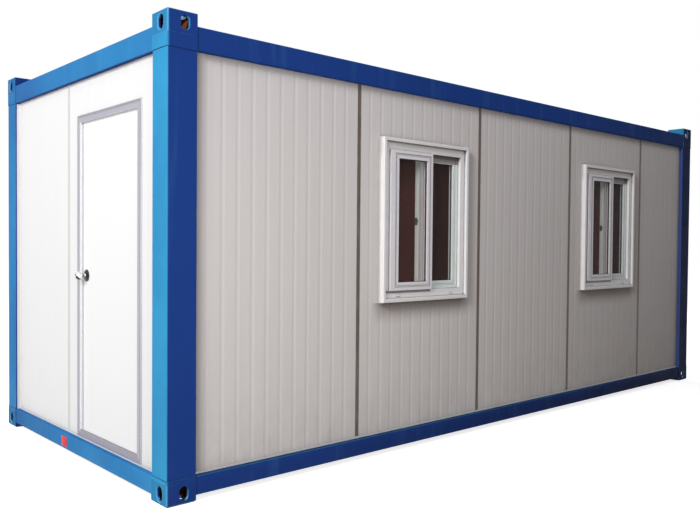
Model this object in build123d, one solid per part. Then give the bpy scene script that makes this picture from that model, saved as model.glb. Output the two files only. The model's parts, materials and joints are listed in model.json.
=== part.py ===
from build123d import *
from math import acos, cos, sin
import os

os.makedirs("parts", exist_ok=True)

# A 20 ft flat-pack cabin: a frame of folded steel with hollow corner blocks, sandwich panels between
# its posts, two sliding windows in the front wall and a single door in one end.
# Millimetres. +X runs along the cabin away from the door end, the windows face -Y, +Z is up.
# The origin is on the ground under the middle of the steel frame.
# "Depth" is measured inwards from the outer face of the beams and posts.

# ---------------------------------------------------------------- overall
LENGTH = 6055.0
WIDTH = 2435.0
HEIGHT = 2591.0
BLOCK_PROUD = 4.0            # corner blocks stand this far outside the beams and posts

# ---------------------------------------------------------------- corner blocks
CORNER_ALONG = 178.0
CORNER_ACROSS = 164.0
BLOCK_HEIGHT = 118.0
BLOCK_WALL = 16.0
BLOCK_CORNER_RADIUS = 14.0   # upright outer edge of the blocks and of the lengths flush with them
TOP_BLOCK_CHAMFER = 4.0
FOOT_BLOCK_CHAMFER = 9.0
SLOT_CHAMFER = 5.0
SLOT_HEIGHT = 78.0
SLOT_WIDTH = 55.0
SLOT_FROM_END = 105.0        # slot in the long side, from the end face of the block
SLOT_FROM_SIDE = 76.0        # slot in the end face, from the long side of the block
APERTURE_LENGTH = 124.0
APERTURE_WIDTH = 63.5

# ---------------------------------------------------------------- posts and beams
STEEL = 3.5
BEND_RADIUS = 6.0
POST_LEG_DEPTH = 84.0
END_PLATE = 8.0
FLOOR_BEAM_BOTTOM = 33.0
FLOOR_BEAM_TOP = 138.0
FLOOR_FLANGE = 60.0
LEDGE_HEIGHT = 120.0
LEDGE_DEPTH = 116.0
LEDGE_LIP = 20.0
ROOF_BEAM_DROP = 65.0        # top of the roof beams, below the top of the blocks
ROOF_BEAM_HEIGHT = 128.0
ROOF_TOP_FLANGE = 60.0
ROOF_TOP_LIP = 18.0
ROOF_BOTTOM_FLANGE = 110.0

# ---------------------------------------------------------------- floor
JOIST_DEPTH = 80.0
JOIST_WIDTH = 40.0
JOIST_STEEL = 2.5
JOIST_COUNT = 11
DECK_THICKNESS = 20.0
DECK_CLEARANCE = 3.0         # beside the risers of the floor beams
UNDERFLOOR_STEEL = 2.0
UNDERFLOOR_CLEARANCE = 4.0   # beside the corner blocks and the beams' lips

# ---------------------------------------------------------------- roof
PURLIN_DEPTH = 60.0
PURLIN_WIDTH = 40.0
PURLIN_STEEL = 2.0
PURLIN_COUNT = 6
PURLIN_LIFT = 22.0           # above the bottom of the roof beams
CEILING_THICKNESS = 10.0
CEILING_CLEARANCE = 2.0      # beside the roof corner boxes
ROOF_SHEET_STEEL = 1.0
ROOF_RIB_PITCH = 200.0
ROOF_RIB_HEIGHT = 24.0
ROOF_RIB_TOP = 40.0
ROOF_RIB_SLOPE = 15.0
ROOF_SHEET_DEPTH = 30.0      # its edge, hidden under the beams' top flanges
ROOF_NOTCH_CLEARANCE = 2.0

# ---------------------------------------------------------------- wall panels
PANEL_RECESS = 30.0
PANEL_THICKNESS = 50.0
PANEL_MODULE = 1222.0
FIRST_PANEL = 1200.0         # front panel beside the door-end post
WINDOW_COUNT = 2             # each in a panel of its own, with plain panels between and beside them
GROOVES_PER_MODULE = 11
GROOVE_START = 100.0         # first groove, from the joint before it
GROOVE_PITCH = 100.8
GROOVE_MOUTH = 34.0
GROOVE_FLOOR = 6.0
GROOVE_DEPTH = 1.2
STRIP_WIDTH = 28.0
STRIP_METAL = 1.5
STRIP_WEB = 2.0
TRACK_METAL = 1.5
TRACK_UPSTAND = 12.0
TRACK_FRONT = 27.0
END_JOINT = 1353.0           # joint in both end walls, from the front of the cabin

# ---------------------------------------------------------------- door
DOOR_FRAME_SIDE = 343.0      # hinge side of the door frame, from the front of the cabin
DOOR_FRAME_WIDTH = 859.0
HEAD_PANEL_HEIGHT = 221.0    # wall above the door frame
DOOR_FRAME_FACE = 44.0       # visible width of the frame
DOOR_FRAME_REBATE = 16.0     # how far its stop covers the leaf
DOOR_FRAME_DEPTH = 25.0
DOOR_STOP_THICKNESS = 13.0
THRESHOLD_TOP = 193.0
LEAF_THICKNESS = 40.0
LEAF_GAP = 5.0
LEAF_EDGE_CHAMFER = 1.0
HINGE_LENGTH = 100.0
HINGE_PLATE_WIDTH = 24.0
HINGE_PLATE = 3.0
KNUCKLE_RADIUS = 7.0
KNUCKLE_GAP = 1.0
KNUCKLE_SINK = 1.75          # of the knuckles into their plates
HINGE_PIN_RADIUS = 4.0
HINGE_PIN_CLEARANCE = 0.1
HINGE_INSET = 200.0          # hinge centre from the leaf's top or bottom
KNOB_BACKSET = 64.0
KNOB_HEIGHT = 1173.0
KNOB_RADIUS = 26.0
KNOB_REACH = 48.0            # ball centre from the leaf's face
KNOB_NECK_RADIUS = 10.0
KNOB_FACE_RADIUS = 9.0       # flat end of the ball
KNOB_BANDS = 8               # turned bands that make up the ball
KNOB_RUNNING_GAP = 0.3
ROSE_RADIUS = 38.0
ROSE_THICKNESS = 9.0
ROSE_RIM = 3.0

# ---------------------------------------------------------------- windows
WINDOW_WIDTH = 862.0         # outside of the surround
WINDOW_HEIGHT = 1087.0
WINDOW_SILL = 999.0
WINDOW_CENTRE = 1998.0       # first window, from the door end of the cabin
SURROUND_RIM = 25.0
SURROUND_PROUD = 12.0        # beyond the beams' outer face
SURROUND_EDGE = 5.0
WINDOW_FRAME_DEPTH = 10.0
WINDOW_FRAME_FACE = 44.0
SASH_THICKNESS = 34.0
SASH_STILE = 54.0
OUTER_SASH_JAMB = 76.0       # stile of the outer sash beside the frame
SASH_RAIL = 54.0
SASH_BEAD = 20.0             # raised band next to the glass
SASH_GROOVE = 14.0           # sunk band round the bead
SASH_GROOVE_DEPTH = 5.0
SASH_SIDE_GAP = 1.0
SASH_TRACK_GAP = 8.0
SASH_OVERLAP = 100.0         # of the two sashes at the middle of the window
OUTER_SASH_DEPTH = -4.0
INNER_SASH_DEPTH = 36.0
TRACK_RAIL = 6.0
GLASS_THICKNESS = 5.0
GLASS_EDGE = 10.0
LATCH_HEIGHT = 46.0
LATCH_RADIUS = 13.0
LATCH_THICKNESS = 7.0
LATCH_PLATE = 3.5
LATCH_HOLLOW_RADIUS = 10.4

# ---------------------------------------------------------------- worked-out places
END_FACE = -LENGTH / 2 + BLOCK_PROUD
FRONT_FACE = -WIDTH / 2 + BLOCK_PROUD
ALONG_START = -LENGTH / 2 + CORNER_ALONG
ACROSS_START = -WIDTH / 2 + CORNER_ACROSS
ROOF_BEAM_TOP = HEIGHT - ROOF_BEAM_DROP
ROOF_BEAM_BOTTOM = ROOF_BEAM_TOP - ROOF_BEAM_HEIGHT
PURLIN_BOTTOM = ROOF_BEAM_BOTTOM + PURLIN_LIFT
DOOR_FRAME_HEAD = ROOF_BEAM_BOTTOM - HEAD_PANEL_HEIGHT
PANEL_BACK = PANEL_RECESS + PANEL_THICKNESS
PANEL_FOOT = FLOOR_BEAM_TOP + TRACK_METAL
TRACK_TOP = FLOOR_BEAM_TOP + TRACK_UPSTAND
DECK_TOP = LEDGE_HEIGHT + DECK_THICKNESS
WINDOW_PITCH = 2 * PANEL_MODULE


def block_between(low, high):
    """A solid box from its lowest corner to its highest corner."""
    size = [top - bottom for bottom, top in zip(low, high)]
    return Pos(*low) * Box(*size, align=(Align.MIN, Align.MIN, Align.MIN))


def all_four_corners(piece):
    """Copies of a piece made for the front corner of the door end, in all four corners."""
    door_end = [piece, mirror(piece, about=Plane.XZ)]
    return door_end + [mirror(one, about=Plane.YZ) for one in door_end]


def save(name, pieces):
    """Write one named part of the cabin, made of one or more separate solids."""
    pieces = list(pieces) if isinstance(pieces, (list, tuple)) else [pieces]
    solids = [solid for piece in pieces for solid in piece.solids()]
    part = solids[0] if len(solids) == 1 else Compound(children=solids)
    export_step(part, "parts/" + name + ".step")


def folded_section(points, thickness, bend=0.0):
    """Face of a folded sheet: its outer skin follows the points and the metal lies to their left."""
    skin = [Vector(*point) for point in points]
    along = [(end - start).normalized() for start, end in zip(skin, skin[1:])]
    left = [Vector(-way.Y, way.X) for way in along]
    inner = [skin[0] + left[0] * thickness]
    turns = []
    for corner, (before, after) in zip(skin[1:-1], zip(left, left[1:])):
        inner.append(corner + (before + after) * (thickness / (1 + before.dot(after))))
        turns.append(before.cross(after).Z)
    inner.append(skin[-1] + left[-1] * thickness)
    if bend:
        outside = [bend if turn > 0 else bend - thickness for turn in turns]
        inside = [bend - thickness if turn > 0 else bend for turn in turns]
        skin_line = FilletPolyline(*skin, radius=outside)
        inner_line = FilletPolyline(*inner, radius=inside)
    else:
        skin_line = Polyline(*skin)
        inner_line = Polyline(*inner)
    ends = [Line(skin[0], inner[0]), Line(skin[-1], inner[-1])]
    return make_face([skin_line, inner_line] + ends)


def along_front(section, start, end):
    """Extrude a section drawn as (depth, height) along X, in the front wall."""
    place = Plane(origin=(start, FRONT_FACE, 0), x_dir=(0, 1, 0), z_dir=(1, 0, 0))
    return extrude(place * section, amount=end - start)


def along_door_end(section, start, end):
    """Extrude a section drawn as (depth, height) along Y, in the end wall with the door."""
    place = Plane(origin=(END_FACE, end, 0), x_dir=(1, 0, 0), z_dir=(0, -1, 0))
    return extrude(place * section, amount=end - start)


def front_box(left, right, near, far, bottom, top):
    """A box in the front wall: places along the cabin, depths and heights."""
    return block_between((left, FRONT_FACE + near, bottom), (right, FRONT_FACE + far, top))


def end_box(front, back, near, far, bottom, top):
    """A box in the end wall with the door: places across the cabin, depths and heights."""
    return block_between((END_FACE + near, front, bottom), (END_FACE + far, back, top))


# ---------------------------------------------------------------- corner blocks
def corner_block(rim_chamfer):
    """Hollow top block of the front corner at the door end, with its three holes."""
    centre = (-LENGTH / 2 + CORNER_ALONG / 2, -WIDTH / 2 + CORNER_ACROSS / 2, HEIGHT - BLOCK_HEIGHT / 2)
    body = Box(CORNER_ALONG, CORNER_ACROSS, BLOCK_HEIGHT)
    outer_corner = body.edges().filter_by(Axis.Z).sort_by(Axis.X)[:2].sort_by(Axis.Y)[:1]
    body = fillet(outer_corner, BLOCK_CORNER_RADIUS)
    body = chamfer(body.faces().sort_by(Axis.Z)[-1].edges(), rim_chamfer)
    body -= Box(*[size - 2 * BLOCK_WALL for size in (CORNER_ALONG, CORNER_ACROSS, BLOCK_HEIGHT)])
    slot = SlotOverall(SLOT_HEIGHT, SLOT_WIDTH, rotation=90)
    side_place = Plane(origin=(SLOT_FROM_END - CORNER_ALONG / 2, 0, 0), x_dir=(1, 0, 0), z_dir=(0, -1, 0))
    end_place = Plane(origin=(0, SLOT_FROM_SIDE - CORNER_ACROSS / 2, 0), x_dir=(0, -1, 0), z_dir=(-1, 0, 0))
    body -= extrude(side_place * slot, amount=CORNER_ACROSS)
    body -= extrude(end_place * slot, amount=CORNER_ALONG)
    for slotted_face in (body.faces().sort_by(Axis.Y)[0], body.faces().sort_by(Axis.X)[0]):
        body = chamfer(slotted_face.inner_wires()[0].edges(), SLOT_CHAMFER)
    body -= extrude(SlotOverall(APERTURE_LENGTH, APERTURE_WIDTH), amount=BLOCK_HEIGHT)
    return Pos(*centre) * body


top_block = corner_block(TOP_BLOCK_CHAMFER)
bottom_block = Pos(0, 0, HEIGHT) * mirror(corner_block(FOOT_BLOCK_CHAMFER), about=Plane.XY)
save("top_corner_blocks", all_four_corners(top_block))
save("bottom_corner_blocks", all_four_corners(bottom_block))


# ---------------------------------------------------------------- posts and their seats
def corner_outline(proud, corner_radius):
    """L-shaped outline of a corner length, seen from above; proud of the beams by a given amount."""
    outer_x = END_FACE - proud
    outer_y = FRONT_FACE - proud
    inner_x = END_FACE + POST_LEG_DEPTH
    inner_y = FRONT_FACE + POST_LEG_DEPTH
    outline = Polyline(
        (outer_x, outer_y),
        (ALONG_START, outer_y),
        (ALONG_START, inner_y),
        (inner_x, inner_y),
        (inner_x, ACROSS_START),
        (outer_x, ACROSS_START),
        close=True,
    )
    face = make_face(outline)
    return fillet(face.vertices().sort_by(Axis.X)[:2].sort_by(Axis.Y)[:1], corner_radius)


def corner_tube(outline, bottom, top, plate_at_top):
    """Hollow corner length between two heights, closed with the plates it is bolted through."""
    hollow = offset(outline, amount=-STEEL, kind=Kind.INTERSECTION)
    tube = Pos(0, 0, bottom) * extrude(outline, amount=top - bottom)
    low = bottom + END_PLATE
    high = top - (END_PLATE if plate_at_top else 0)
    return tube - Pos(0, 0, low) * extrude(hollow, amount=high - low)


post = corner_tube(corner_outline(0, BEND_RADIUS), FLOOR_BEAM_TOP, ROOF_BEAM_BOTTOM, True)
post_names = ["post_door_front", "post_door_back", "post_far_front", "post_far_back"]
for post_name, one_post in zip(post_names, all_four_corners(post)):
    save(post_name, one_post)

flush_outline = corner_outline(BLOCK_PROUD, BLOCK_CORNER_RADIUS)
roof_corner_box = corner_tube(flush_outline, ROOF_BEAM_BOTTOM, HEIGHT - BLOCK_HEIGHT, False)
save("roof_corner_boxes", all_four_corners(roof_corner_box))
floor_corner_plate = Pos(0, 0, BLOCK_HEIGHT) * extrude(flush_outline, amount=FLOOR_BEAM_TOP - BLOCK_HEIGHT)
save("floor_corner_plates", all_four_corners(floor_corner_plate))

# ---------------------------------------------------------------- beams
floor_beam_section = folded_section(
    [
        (LEDGE_DEPTH, LEDGE_HEIGHT - LEDGE_LIP),
        (LEDGE_DEPTH, LEDGE_HEIGHT),
        (POST_LEG_DEPTH, LEDGE_HEIGHT),
        (POST_LEG_DEPTH, FLOOR_BEAM_TOP),
        (0, FLOOR_BEAM_TOP),
        (0, FLOOR_BEAM_BOTTOM),
        (FLOOR_FLANGE, FLOOR_BEAM_BOTTOM),
    ],
    STEEL,
    BEND_RADIUS,
)
roof_beam_section = folded_section(
    [
        (ROOF_TOP_FLANGE, ROOF_BEAM_TOP - ROOF_TOP_LIP),
        (ROOF_TOP_FLANGE, ROOF_BEAM_TOP),
        (0, ROOF_BEAM_TOP),
        (0, ROOF_BEAM_BOTTOM),
        (ROOF_BOTTOM_FLANGE, ROOF_BEAM_BOTTOM),
    ],
    STEEL,
    BEND_RADIUS,
)
for frame_name, section in (("floor", floor_beam_section), ("roof", roof_beam_section)):
    side_beam = along_front(section, ALONG_START, -ALONG_START)
    end_beam = along_door_end(section, ACROSS_START, -ACROSS_START)
    save(frame_name + "_side_beams", [side_beam, mirror(side_beam, about=Plane.XZ)])
    save(frame_name + "_end_beams", [end_beam, mirror(end_beam, about=Plane.YZ)])


# ---------------------------------------------------------------- floor
def channel_across(width, depth, metal, top, reach):
    """A C-section lying across the cabin, centred on X = 0, with its web on the -X side."""
    section = folded_section(
        [(width / 2, top), (-width / 2, top), (-width / 2, top - depth), (width / 2, top - depth)],
        metal,
    )
    place = Plane(origin=(0, reach, 0), x_dir=(1, 0, 0), z_dir=(0, -1, 0))
    return extrude(place * section, amount=2 * reach)


def spread_along(piece, count, inset):
    """Copies of a piece, evenly spread along the cabin between two insets from the middle of the corners."""
    first = ALONG_START + inset
    step = -2 * first / (count - 1)
    return [Pos(first + step * number, 0, 0) * piece for number in range(count)]


joist = channel_across(JOIST_WIDTH, JOIST_DEPTH, JOIST_STEEL, LEDGE_HEIGHT, -FRONT_FACE - LEDGE_DEPTH)
save("floor_joists", spread_along(joist, JOIST_COUNT, JOIST_WIDTH))

underfloor_x = -ALONG_START - UNDERFLOOR_CLEARANCE
underfloor_y = -FRONT_FACE - LEDGE_DEPTH - UNDERFLOOR_CLEARANCE
joist_bottom = LEDGE_HEIGHT - JOIST_DEPTH
underfloor = block_between(
    (-underfloor_x, -underfloor_y, joist_bottom - UNDERFLOOR_STEEL),
    (underfloor_x, underfloor_y, joist_bottom),
)
save("underfloor_sheet", underfloor)

deck_x = -END_FACE - POST_LEG_DEPTH - DECK_CLEARANCE
deck_y = -FRONT_FACE - POST_LEG_DEPTH - DECK_CLEARANCE
save("floor_deck", block_between((-deck_x, -deck_y, LEDGE_HEIGHT), (deck_x, deck_y, DECK_TOP)))

# ---------------------------------------------------------------- roof
purlin_top = PURLIN_BOTTOM + PURLIN_DEPTH
purlin = channel_across(PURLIN_WIDTH, PURLIN_DEPTH, PURLIN_STEEL, purlin_top, -FRONT_FACE - STEEL)
purlin_inset = -2 * ALONG_START / (PURLIN_COUNT + 1)
save("roof_purlins", spread_along(purlin, PURLIN_COUNT, purlin_inset))

ceiling_x = -END_FACE - POST_LEG_DEPTH - CEILING_CLEARANCE
ceiling_y = -FRONT_FACE - POST_LEG_DEPTH - CEILING_CLEARANCE
ceiling_bottom = ROOF_BEAM_BOTTOM + STEEL
ceiling = block_between(
    (-ceiling_x, -ceiling_y, ceiling_bottom),
    (ceiling_x, ceiling_y, ceiling_bottom + CEILING_THICKNESS),
)
save("ceiling_panel", ceiling)


def roof_sheet():
    """Trapezoidal sheet on the purlins, its ribs across the cabin, notched round the top blocks."""
    half_x = -END_FACE - ROOF_SHEET_DEPTH
    half_y = -FRONT_FACE - ROOF_SHEET_DEPTH
    rib_count = int(2 * half_x / ROOF_RIB_PITCH)
    first_rib = -ROOF_RIB_PITCH * (rib_count - 1) / 2
    skin = [(-half_x, purlin_top)]
    for number in range(rib_count):
        centre = first_rib + ROOF_RIB_PITCH * number
        foot = ROOF_RIB_TOP / 2 + ROOF_RIB_SLOPE
        skin.append((centre - foot, purlin_top))
        skin.append((centre - ROOF_RIB_TOP / 2, purlin_top + ROOF_RIB_HEIGHT))
        skin.append((centre + ROOF_RIB_TOP / 2, purlin_top + ROOF_RIB_HEIGHT))
        skin.append((centre + foot, purlin_top))
    skin.append((half_x, purlin_top))
    section = folded_section(skin, ROOF_SHEET_STEEL)
    place = Plane(origin=(0, half_y, 0), x_dir=(1, 0, 0), z_dir=(0, -1, 0))
    sheet = extrude(place * section, amount=2 * half_y)
    notch = block_between(
        (-LENGTH / 2, -WIDTH / 2, ROOF_BEAM_BOTTOM),
        (ALONG_START + ROOF_NOTCH_CLEARANCE, ACROSS_START + ROOF_NOTCH_CLEARANCE, HEIGHT),
    )
    for one_notch in all_four_corners(notch):
        sheet -= one_notch
    return sheet


save("roof_sheet", roof_sheet())


# ---------------------------------------------------------------- wall panels
def panel_section(start, end, first_groove):
    """Plan of a sandwich panel: depth against place, with shallow grooves in its outer face."""
    edge = [(start, PANEL_RECESS)]
    for number in range(GROOVES_PER_MODULE):
        groove = first_groove + GROOVE_PITCH * number
        if start + GROOVE_MOUTH < groove < end - GROOVE_MOUTH:
            edge.append((groove - GROOVE_MOUTH / 2, PANEL_RECESS))
            edge.append((groove - GROOVE_FLOOR / 2, PANEL_RECESS + GROOVE_DEPTH))
            edge.append((groove + GROOVE_FLOOR / 2, PANEL_RECESS + GROOVE_DEPTH))
            edge.append((groove + GROOVE_MOUTH / 2, PANEL_RECESS))
    edge.append((end, PANEL_RECESS))
    edge.append((end, PANEL_BACK))
    edge.append((start, PANEL_BACK))
    return make_face(Polyline(*edge, close=True))


def front_panel(start, end, first_groove, bottom=PANEL_FOOT, top=ROOF_BEAM_BOTTOM):
    """A panel of the front wall between two places along the cabin."""
    plan = Pos(0, FRONT_FACE, bottom) * panel_section(start, end, first_groove)
    return extrude(plan, amount=top - bottom)


def door_end_panel(start, end, first_groove, bottom=PANEL_FOOT, top=ROOF_BEAM_BOTTOM):
    """A panel of the end wall with the door, between two places across the cabin."""
    place = Plane(origin=(END_FACE, 0, bottom), x_dir=(0, -1, 0), z_dir=(0, 0, 1))
    plan = place * panel_section(-end, -start, -first_groove)
    return extrude(plan, amount=top - bottom)


half_web = STRIP_WEB / 2
first_joint = ALONG_START + FIRST_PANEL
front_joints = [first_joint + PANEL_MODULE * number for number in range(2 * WINDOW_COUNT)]
front_starts = [ALONG_START] + [joint + half_web for joint in front_joints]
front_ends = [joint - half_web for joint in front_joints] + [-ALONG_START]
first_grooves = [joint + GROOVE_START for joint in [first_joint - PANEL_MODULE] + front_joints]
front_panels = [front_panel(*place) for place in zip(front_starts, front_ends, first_grooves)]

window_centres = [-LENGTH / 2 + WINDOW_CENTRE + WINDOW_PITCH * number for number in range(WINDOW_COUNT)]
window_bottom = WINDOW_SILL + SURROUND_RIM
window_top = WINDOW_SILL + WINDOW_HEIGHT - SURROUND_RIM
window_half = WINDOW_WIDTH / 2 - SURROUND_RIM


def window_hole(centre, near, far, lining=0.0):
    """The box of a window's opening, made smaller by the width of what lines it."""
    return front_box(
        centre - window_half + lining,
        centre + window_half - lining,
        near,
        far,
        window_bottom + lining,
        window_top - lining,
    )


save("front_wall_panels", front_panels[0::2])
for number, (panel, centre) in enumerate(zip(front_panels[1::2], window_centres), start=1):
    save("window_wall_panel_" + str(number), panel - window_hole(centre, 0, PANEL_BACK))
save("back_wall_panels", [mirror(panel, about=Plane.XZ) for panel in front_panels])

end_joint = -WIDTH / 2 + END_JOINT
door_hinge_side = -WIDTH / 2 + DOOR_FRAME_SIDE
door_latch_side = door_hinge_side + DOOR_FRAME_WIDTH
front_grooves = end_joint - GROOVE_START
back_grooves = end_joint + PANEL_MODULE - GROOVE_START
plain_end_panel = door_end_panel(end_joint + half_web, -ACROSS_START, back_grooves)
wide_end_panel = door_end_panel(ACROSS_START, end_joint - half_web, front_grooves)
save("door_end_wall_panel", plain_end_panel)
far_end_panels = [mirror(panel, about=Plane.YZ) for panel in (plain_end_panel, wide_end_panel)]
save("far_end_wall_panels", far_end_panels)
side_panels = [
    door_end_panel(ACROSS_START, door_hinge_side, front_grooves),
    door_end_panel(door_latch_side, end_joint - half_web, front_grooves),
]
save("door_side_panels", side_panels)
head_panel = door_end_panel(door_hinge_side, door_latch_side, front_grooves, DOOR_FRAME_HEAD)
save("door_head_panel", head_panel)

# ---------------------------------------------------------------- strips and tracks
strip_half = STRIP_WIDTH / 2
strip_plan = make_face(
    Polyline(
        (-strip_half, PANEL_RECESS - STRIP_METAL),
        (strip_half, PANEL_RECESS - STRIP_METAL),
        (strip_half, PANEL_RECESS),
        (half_web, PANEL_RECESS),
        (half_web, PANEL_BACK),
        (strip_half, PANEL_BACK),
        (strip_half, PANEL_BACK + STRIP_METAL),
        (-strip_half, PANEL_BACK + STRIP_METAL),
        (-strip_half, PANEL_BACK),
        (-half_web, PANEL_BACK),
        (-half_web, PANEL_RECESS),
        (-strip_half, PANEL_RECESS),
        close=True,
    )
)
strip_length = ROOF_BEAM_BOTTOM - PANEL_FOOT
front_strips = [
    Pos(joint, FRONT_FACE, PANEL_FOOT) * extrude(strip_plan, amount=strip_length) for joint in front_joints
]
end_strip_plan = Plane(origin=(END_FACE, end_joint, PANEL_FOOT), x_dir=(0, -1, 0), z_dir=(0, 0, 1)) * strip_plan
end_strip = extrude(end_strip_plan, amount=strip_length)
strips = front_strips + [mirror(strip, about=Plane.XZ) for strip in front_strips]
save("wall_joint_strips", strips + [end_strip, mirror(end_strip, about=Plane.YZ)])

track_section = folded_section(
    [(TRACK_FRONT, TRACK_TOP), (TRACK_FRONT, FLOOR_BEAM_TOP), (PANEL_BACK, FLOOR_BEAM_TOP)],
    TRACK_METAL,
)
side_track = along_front(track_section, ALONG_START, -ALONG_START)
end_track = along_door_end(track_section, ACROSS_START, -ACROSS_START)
tracks = [side_track, mirror(side_track, about=Plane.XZ), end_track, mirror(end_track, about=Plane.YZ)]
save("wall_foot_tracks", tracks)

# ---------------------------------------------------------------- door frame
stop_back = DOOR_FRAME_DEPTH + DOOR_STOP_THICKNESS
leaf_front = stop_back + LEAF_GAP
leaf_back = leaf_front + LEAF_THICKNESS
rebate_face = DOOR_FRAME_FACE - DOOR_FRAME_REBATE
threshold_rebate = THRESHOLD_TOP - DOOR_FRAME_REBATE
door_frame = end_box(door_hinge_side, door_latch_side, DOOR_FRAME_DEPTH, leaf_back, PANEL_FOOT, DOOR_FRAME_HEAD)
door_frame -= end_box(
    door_hinge_side + DOOR_FRAME_FACE,
    door_latch_side - DOOR_FRAME_FACE,
    0,
    leaf_back,
    THRESHOLD_TOP,
    DOOR_FRAME_HEAD - DOOR_FRAME_FACE,
)
door_frame -= end_box(
    door_hinge_side + rebate_face,
    door_latch_side - rebate_face,
    stop_back,
    leaf_back,
    threshold_rebate,
    DOOR_FRAME_HEAD - rebate_face,
)
door_frame -= end_box(door_hinge_side, door_latch_side, 0, TRACK_FRONT + TRACK_METAL, PANEL_FOOT, TRACK_TOP)
save("door_frame", door_frame)

# ---------------------------------------------------------------- door leaf
leaf_hinge_side = door_hinge_side + rebate_face + LEAF_GAP
leaf_latch_side = door_latch_side - rebate_face - LEAF_GAP
leaf_bottom = threshold_rebate + LEAF_GAP
leaf_top = DOOR_FRAME_HEAD - rebate_face - LEAF_GAP
knob_y = leaf_latch_side - KNOB_BACKSET


def knob_plane(depth, outward):
    """A plane on the knob's axis at a depth, facing out of or into the cabin."""
    return Plane(origin=(END_FACE + depth, knob_y, KNOB_HEIGHT), z_dir=(-1 if outward else 1, 0, 0))


door_leaf = end_box(leaf_hinge_side, leaf_latch_side, leaf_front, leaf_back, leaf_bottom, leaf_top)
door_leaf = chamfer(door_leaf.edges(), LEAF_EDGE_CHAMFER)
knob_hole = Circle(KNOB_NECK_RADIUS + KNOB_RUNNING_GAP)
door_leaf -= extrude(knob_plane(leaf_back, True) * knob_hole, amount=LEAF_THICKNESS)
save("door_leaf", door_leaf)

# ---------------------------------------------------------------- hinges
hinge_y = (door_hinge_side + rebate_face + leaf_hinge_side) / 2
hinge_depth = leaf_back + HINGE_PLATE + KNUCKLE_RADIUS - KNUCKLE_SINK
hinge_middle = (leaf_bottom + leaf_top) / 2
hinge_heights = [leaf_bottom + HINGE_INSET, hinge_middle, leaf_top - HINGE_INSET]
knuckle_length = HINGE_LENGTH / 3


def knuckle(bottom, height, bore_radius):
    """A hinge knuckle on the door's axis, bored for the pin where it turns on it."""
    ring = Circle(KNUCKLE_RADIUS)
    if bore_radius:
        ring -= Circle(bore_radius)
    return Pos(END_FACE + hinge_depth, hinge_y, bottom) * extrude(ring, amount=height)


def hinge_frame_half(middle):
    """Plate on the frame with the lower and upper knuckles and the pin between them."""
    bottom = middle - HINGE_LENGTH / 2
    top = middle + HINGE_LENGTH / 2
    frame_edge = door_hinge_side + rebate_face
    half = end_box(
        frame_edge - HINGE_PLATE_WIDTH, hinge_y - KNUCKLE_RADIUS - KNUCKLE_GAP,
        leaf_back, leaf_back + HINGE_PLATE, bottom, top,
    )
    for low in (bottom, top - knuckle_length):
        half += end_box(
            frame_edge - HINGE_PLATE_WIDTH, hinge_y,
            leaf_back, leaf_back + HINGE_PLATE, low, low + knuckle_length,
        )
        half += knuckle(low, knuckle_length, 0)
    pin = Pos(END_FACE + hinge_depth, hinge_y, bottom) * extrude(Circle(HINGE_PIN_RADIUS), amount=HINGE_LENGTH)
    return half + pin


def hinge_leaf_half(middle):
    """Plate on the leaf with the middle knuckle, bored to turn on the pin."""
    low = middle - knuckle_length / 2 + KNUCKLE_GAP
    high = middle + knuckle_length / 2 - KNUCKLE_GAP
    half = end_box(
        hinge_y + KNUCKLE_RADIUS + KNUCKLE_GAP, leaf_hinge_side + HINGE_PLATE_WIDTH,
        leaf_back, leaf_back + HINGE_PLATE, middle - HINGE_LENGTH / 2, middle + HINGE_LENGTH / 2,
    )
    arm = end_box(
        hinge_y, leaf_hinge_side + HINGE_PLATE_WIDTH, leaf_back, leaf_back + HINGE_PLATE, low, high
    )
    bore = HINGE_PIN_RADIUS + HINGE_PIN_CLEARANCE
    pin_hole = Pos(END_FACE + hinge_depth, hinge_y, low) * extrude(Circle(bore), amount=high - low)
    return half + (arm - pin_hole) + knuckle(low, high - low, bore)


save("door_hinge_frame_halves", [hinge_frame_half(height) for height in hinge_heights])
save("door_hinge_leaf_halves", [hinge_leaf_half(height) for height in hinge_heights])


# ---------------------------------------------------------------- knob set
def turned(profile):
    """Revolve half a profile, given as (radius, distance out) points, about the knob's axis."""
    return revolve(Plane.XZ * make_face(Polyline(*profile, close=True)), axis=Axis.Z)


def knob_half():
    """Half of the knob set: the spindle from the middle of the leaf, its neck and a turned ball."""
    out = LEAF_THICKNESS / 2 + KNOB_REACH
    first = -acos(KNOB_NECK_RADIUS / KNOB_RADIUS)
    last = acos(KNOB_FACE_RADIUS / KNOB_RADIUS)
    turns = [first + (last - first) * number / KNOB_BANDS for number in range(KNOB_BANDS + 1)]
    ball = [(KNOB_RADIUS * cos(turn), out + KNOB_RADIUS * sin(turn)) for turn in turns]
    return turned([(0, 0), (KNOB_NECK_RADIUS, 0)] + ball + [(0, ball[-1][1])])


def rose():
    """Round rose on the leaf, its face falling away to the rim."""
    bore = KNOB_NECK_RADIUS + KNOB_RUNNING_GAP
    return turned([(bore, 0), (ROSE_RADIUS, 0), (ROSE_RADIUS, ROSE_RIM), (bore, ROSE_THICKNESS)])


leaf_middle = (leaf_front + leaf_back) / 2
knob = [knob_plane(leaf_middle, outward).location * knob_half() for outward in (True, False)]
save("door_knob", knob[0] + knob[1])
save("door_roses", [
    knob_plane(leaf_front, True).location * rose(),
    knob_plane(leaf_back, False).location * rose(),
])


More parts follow.
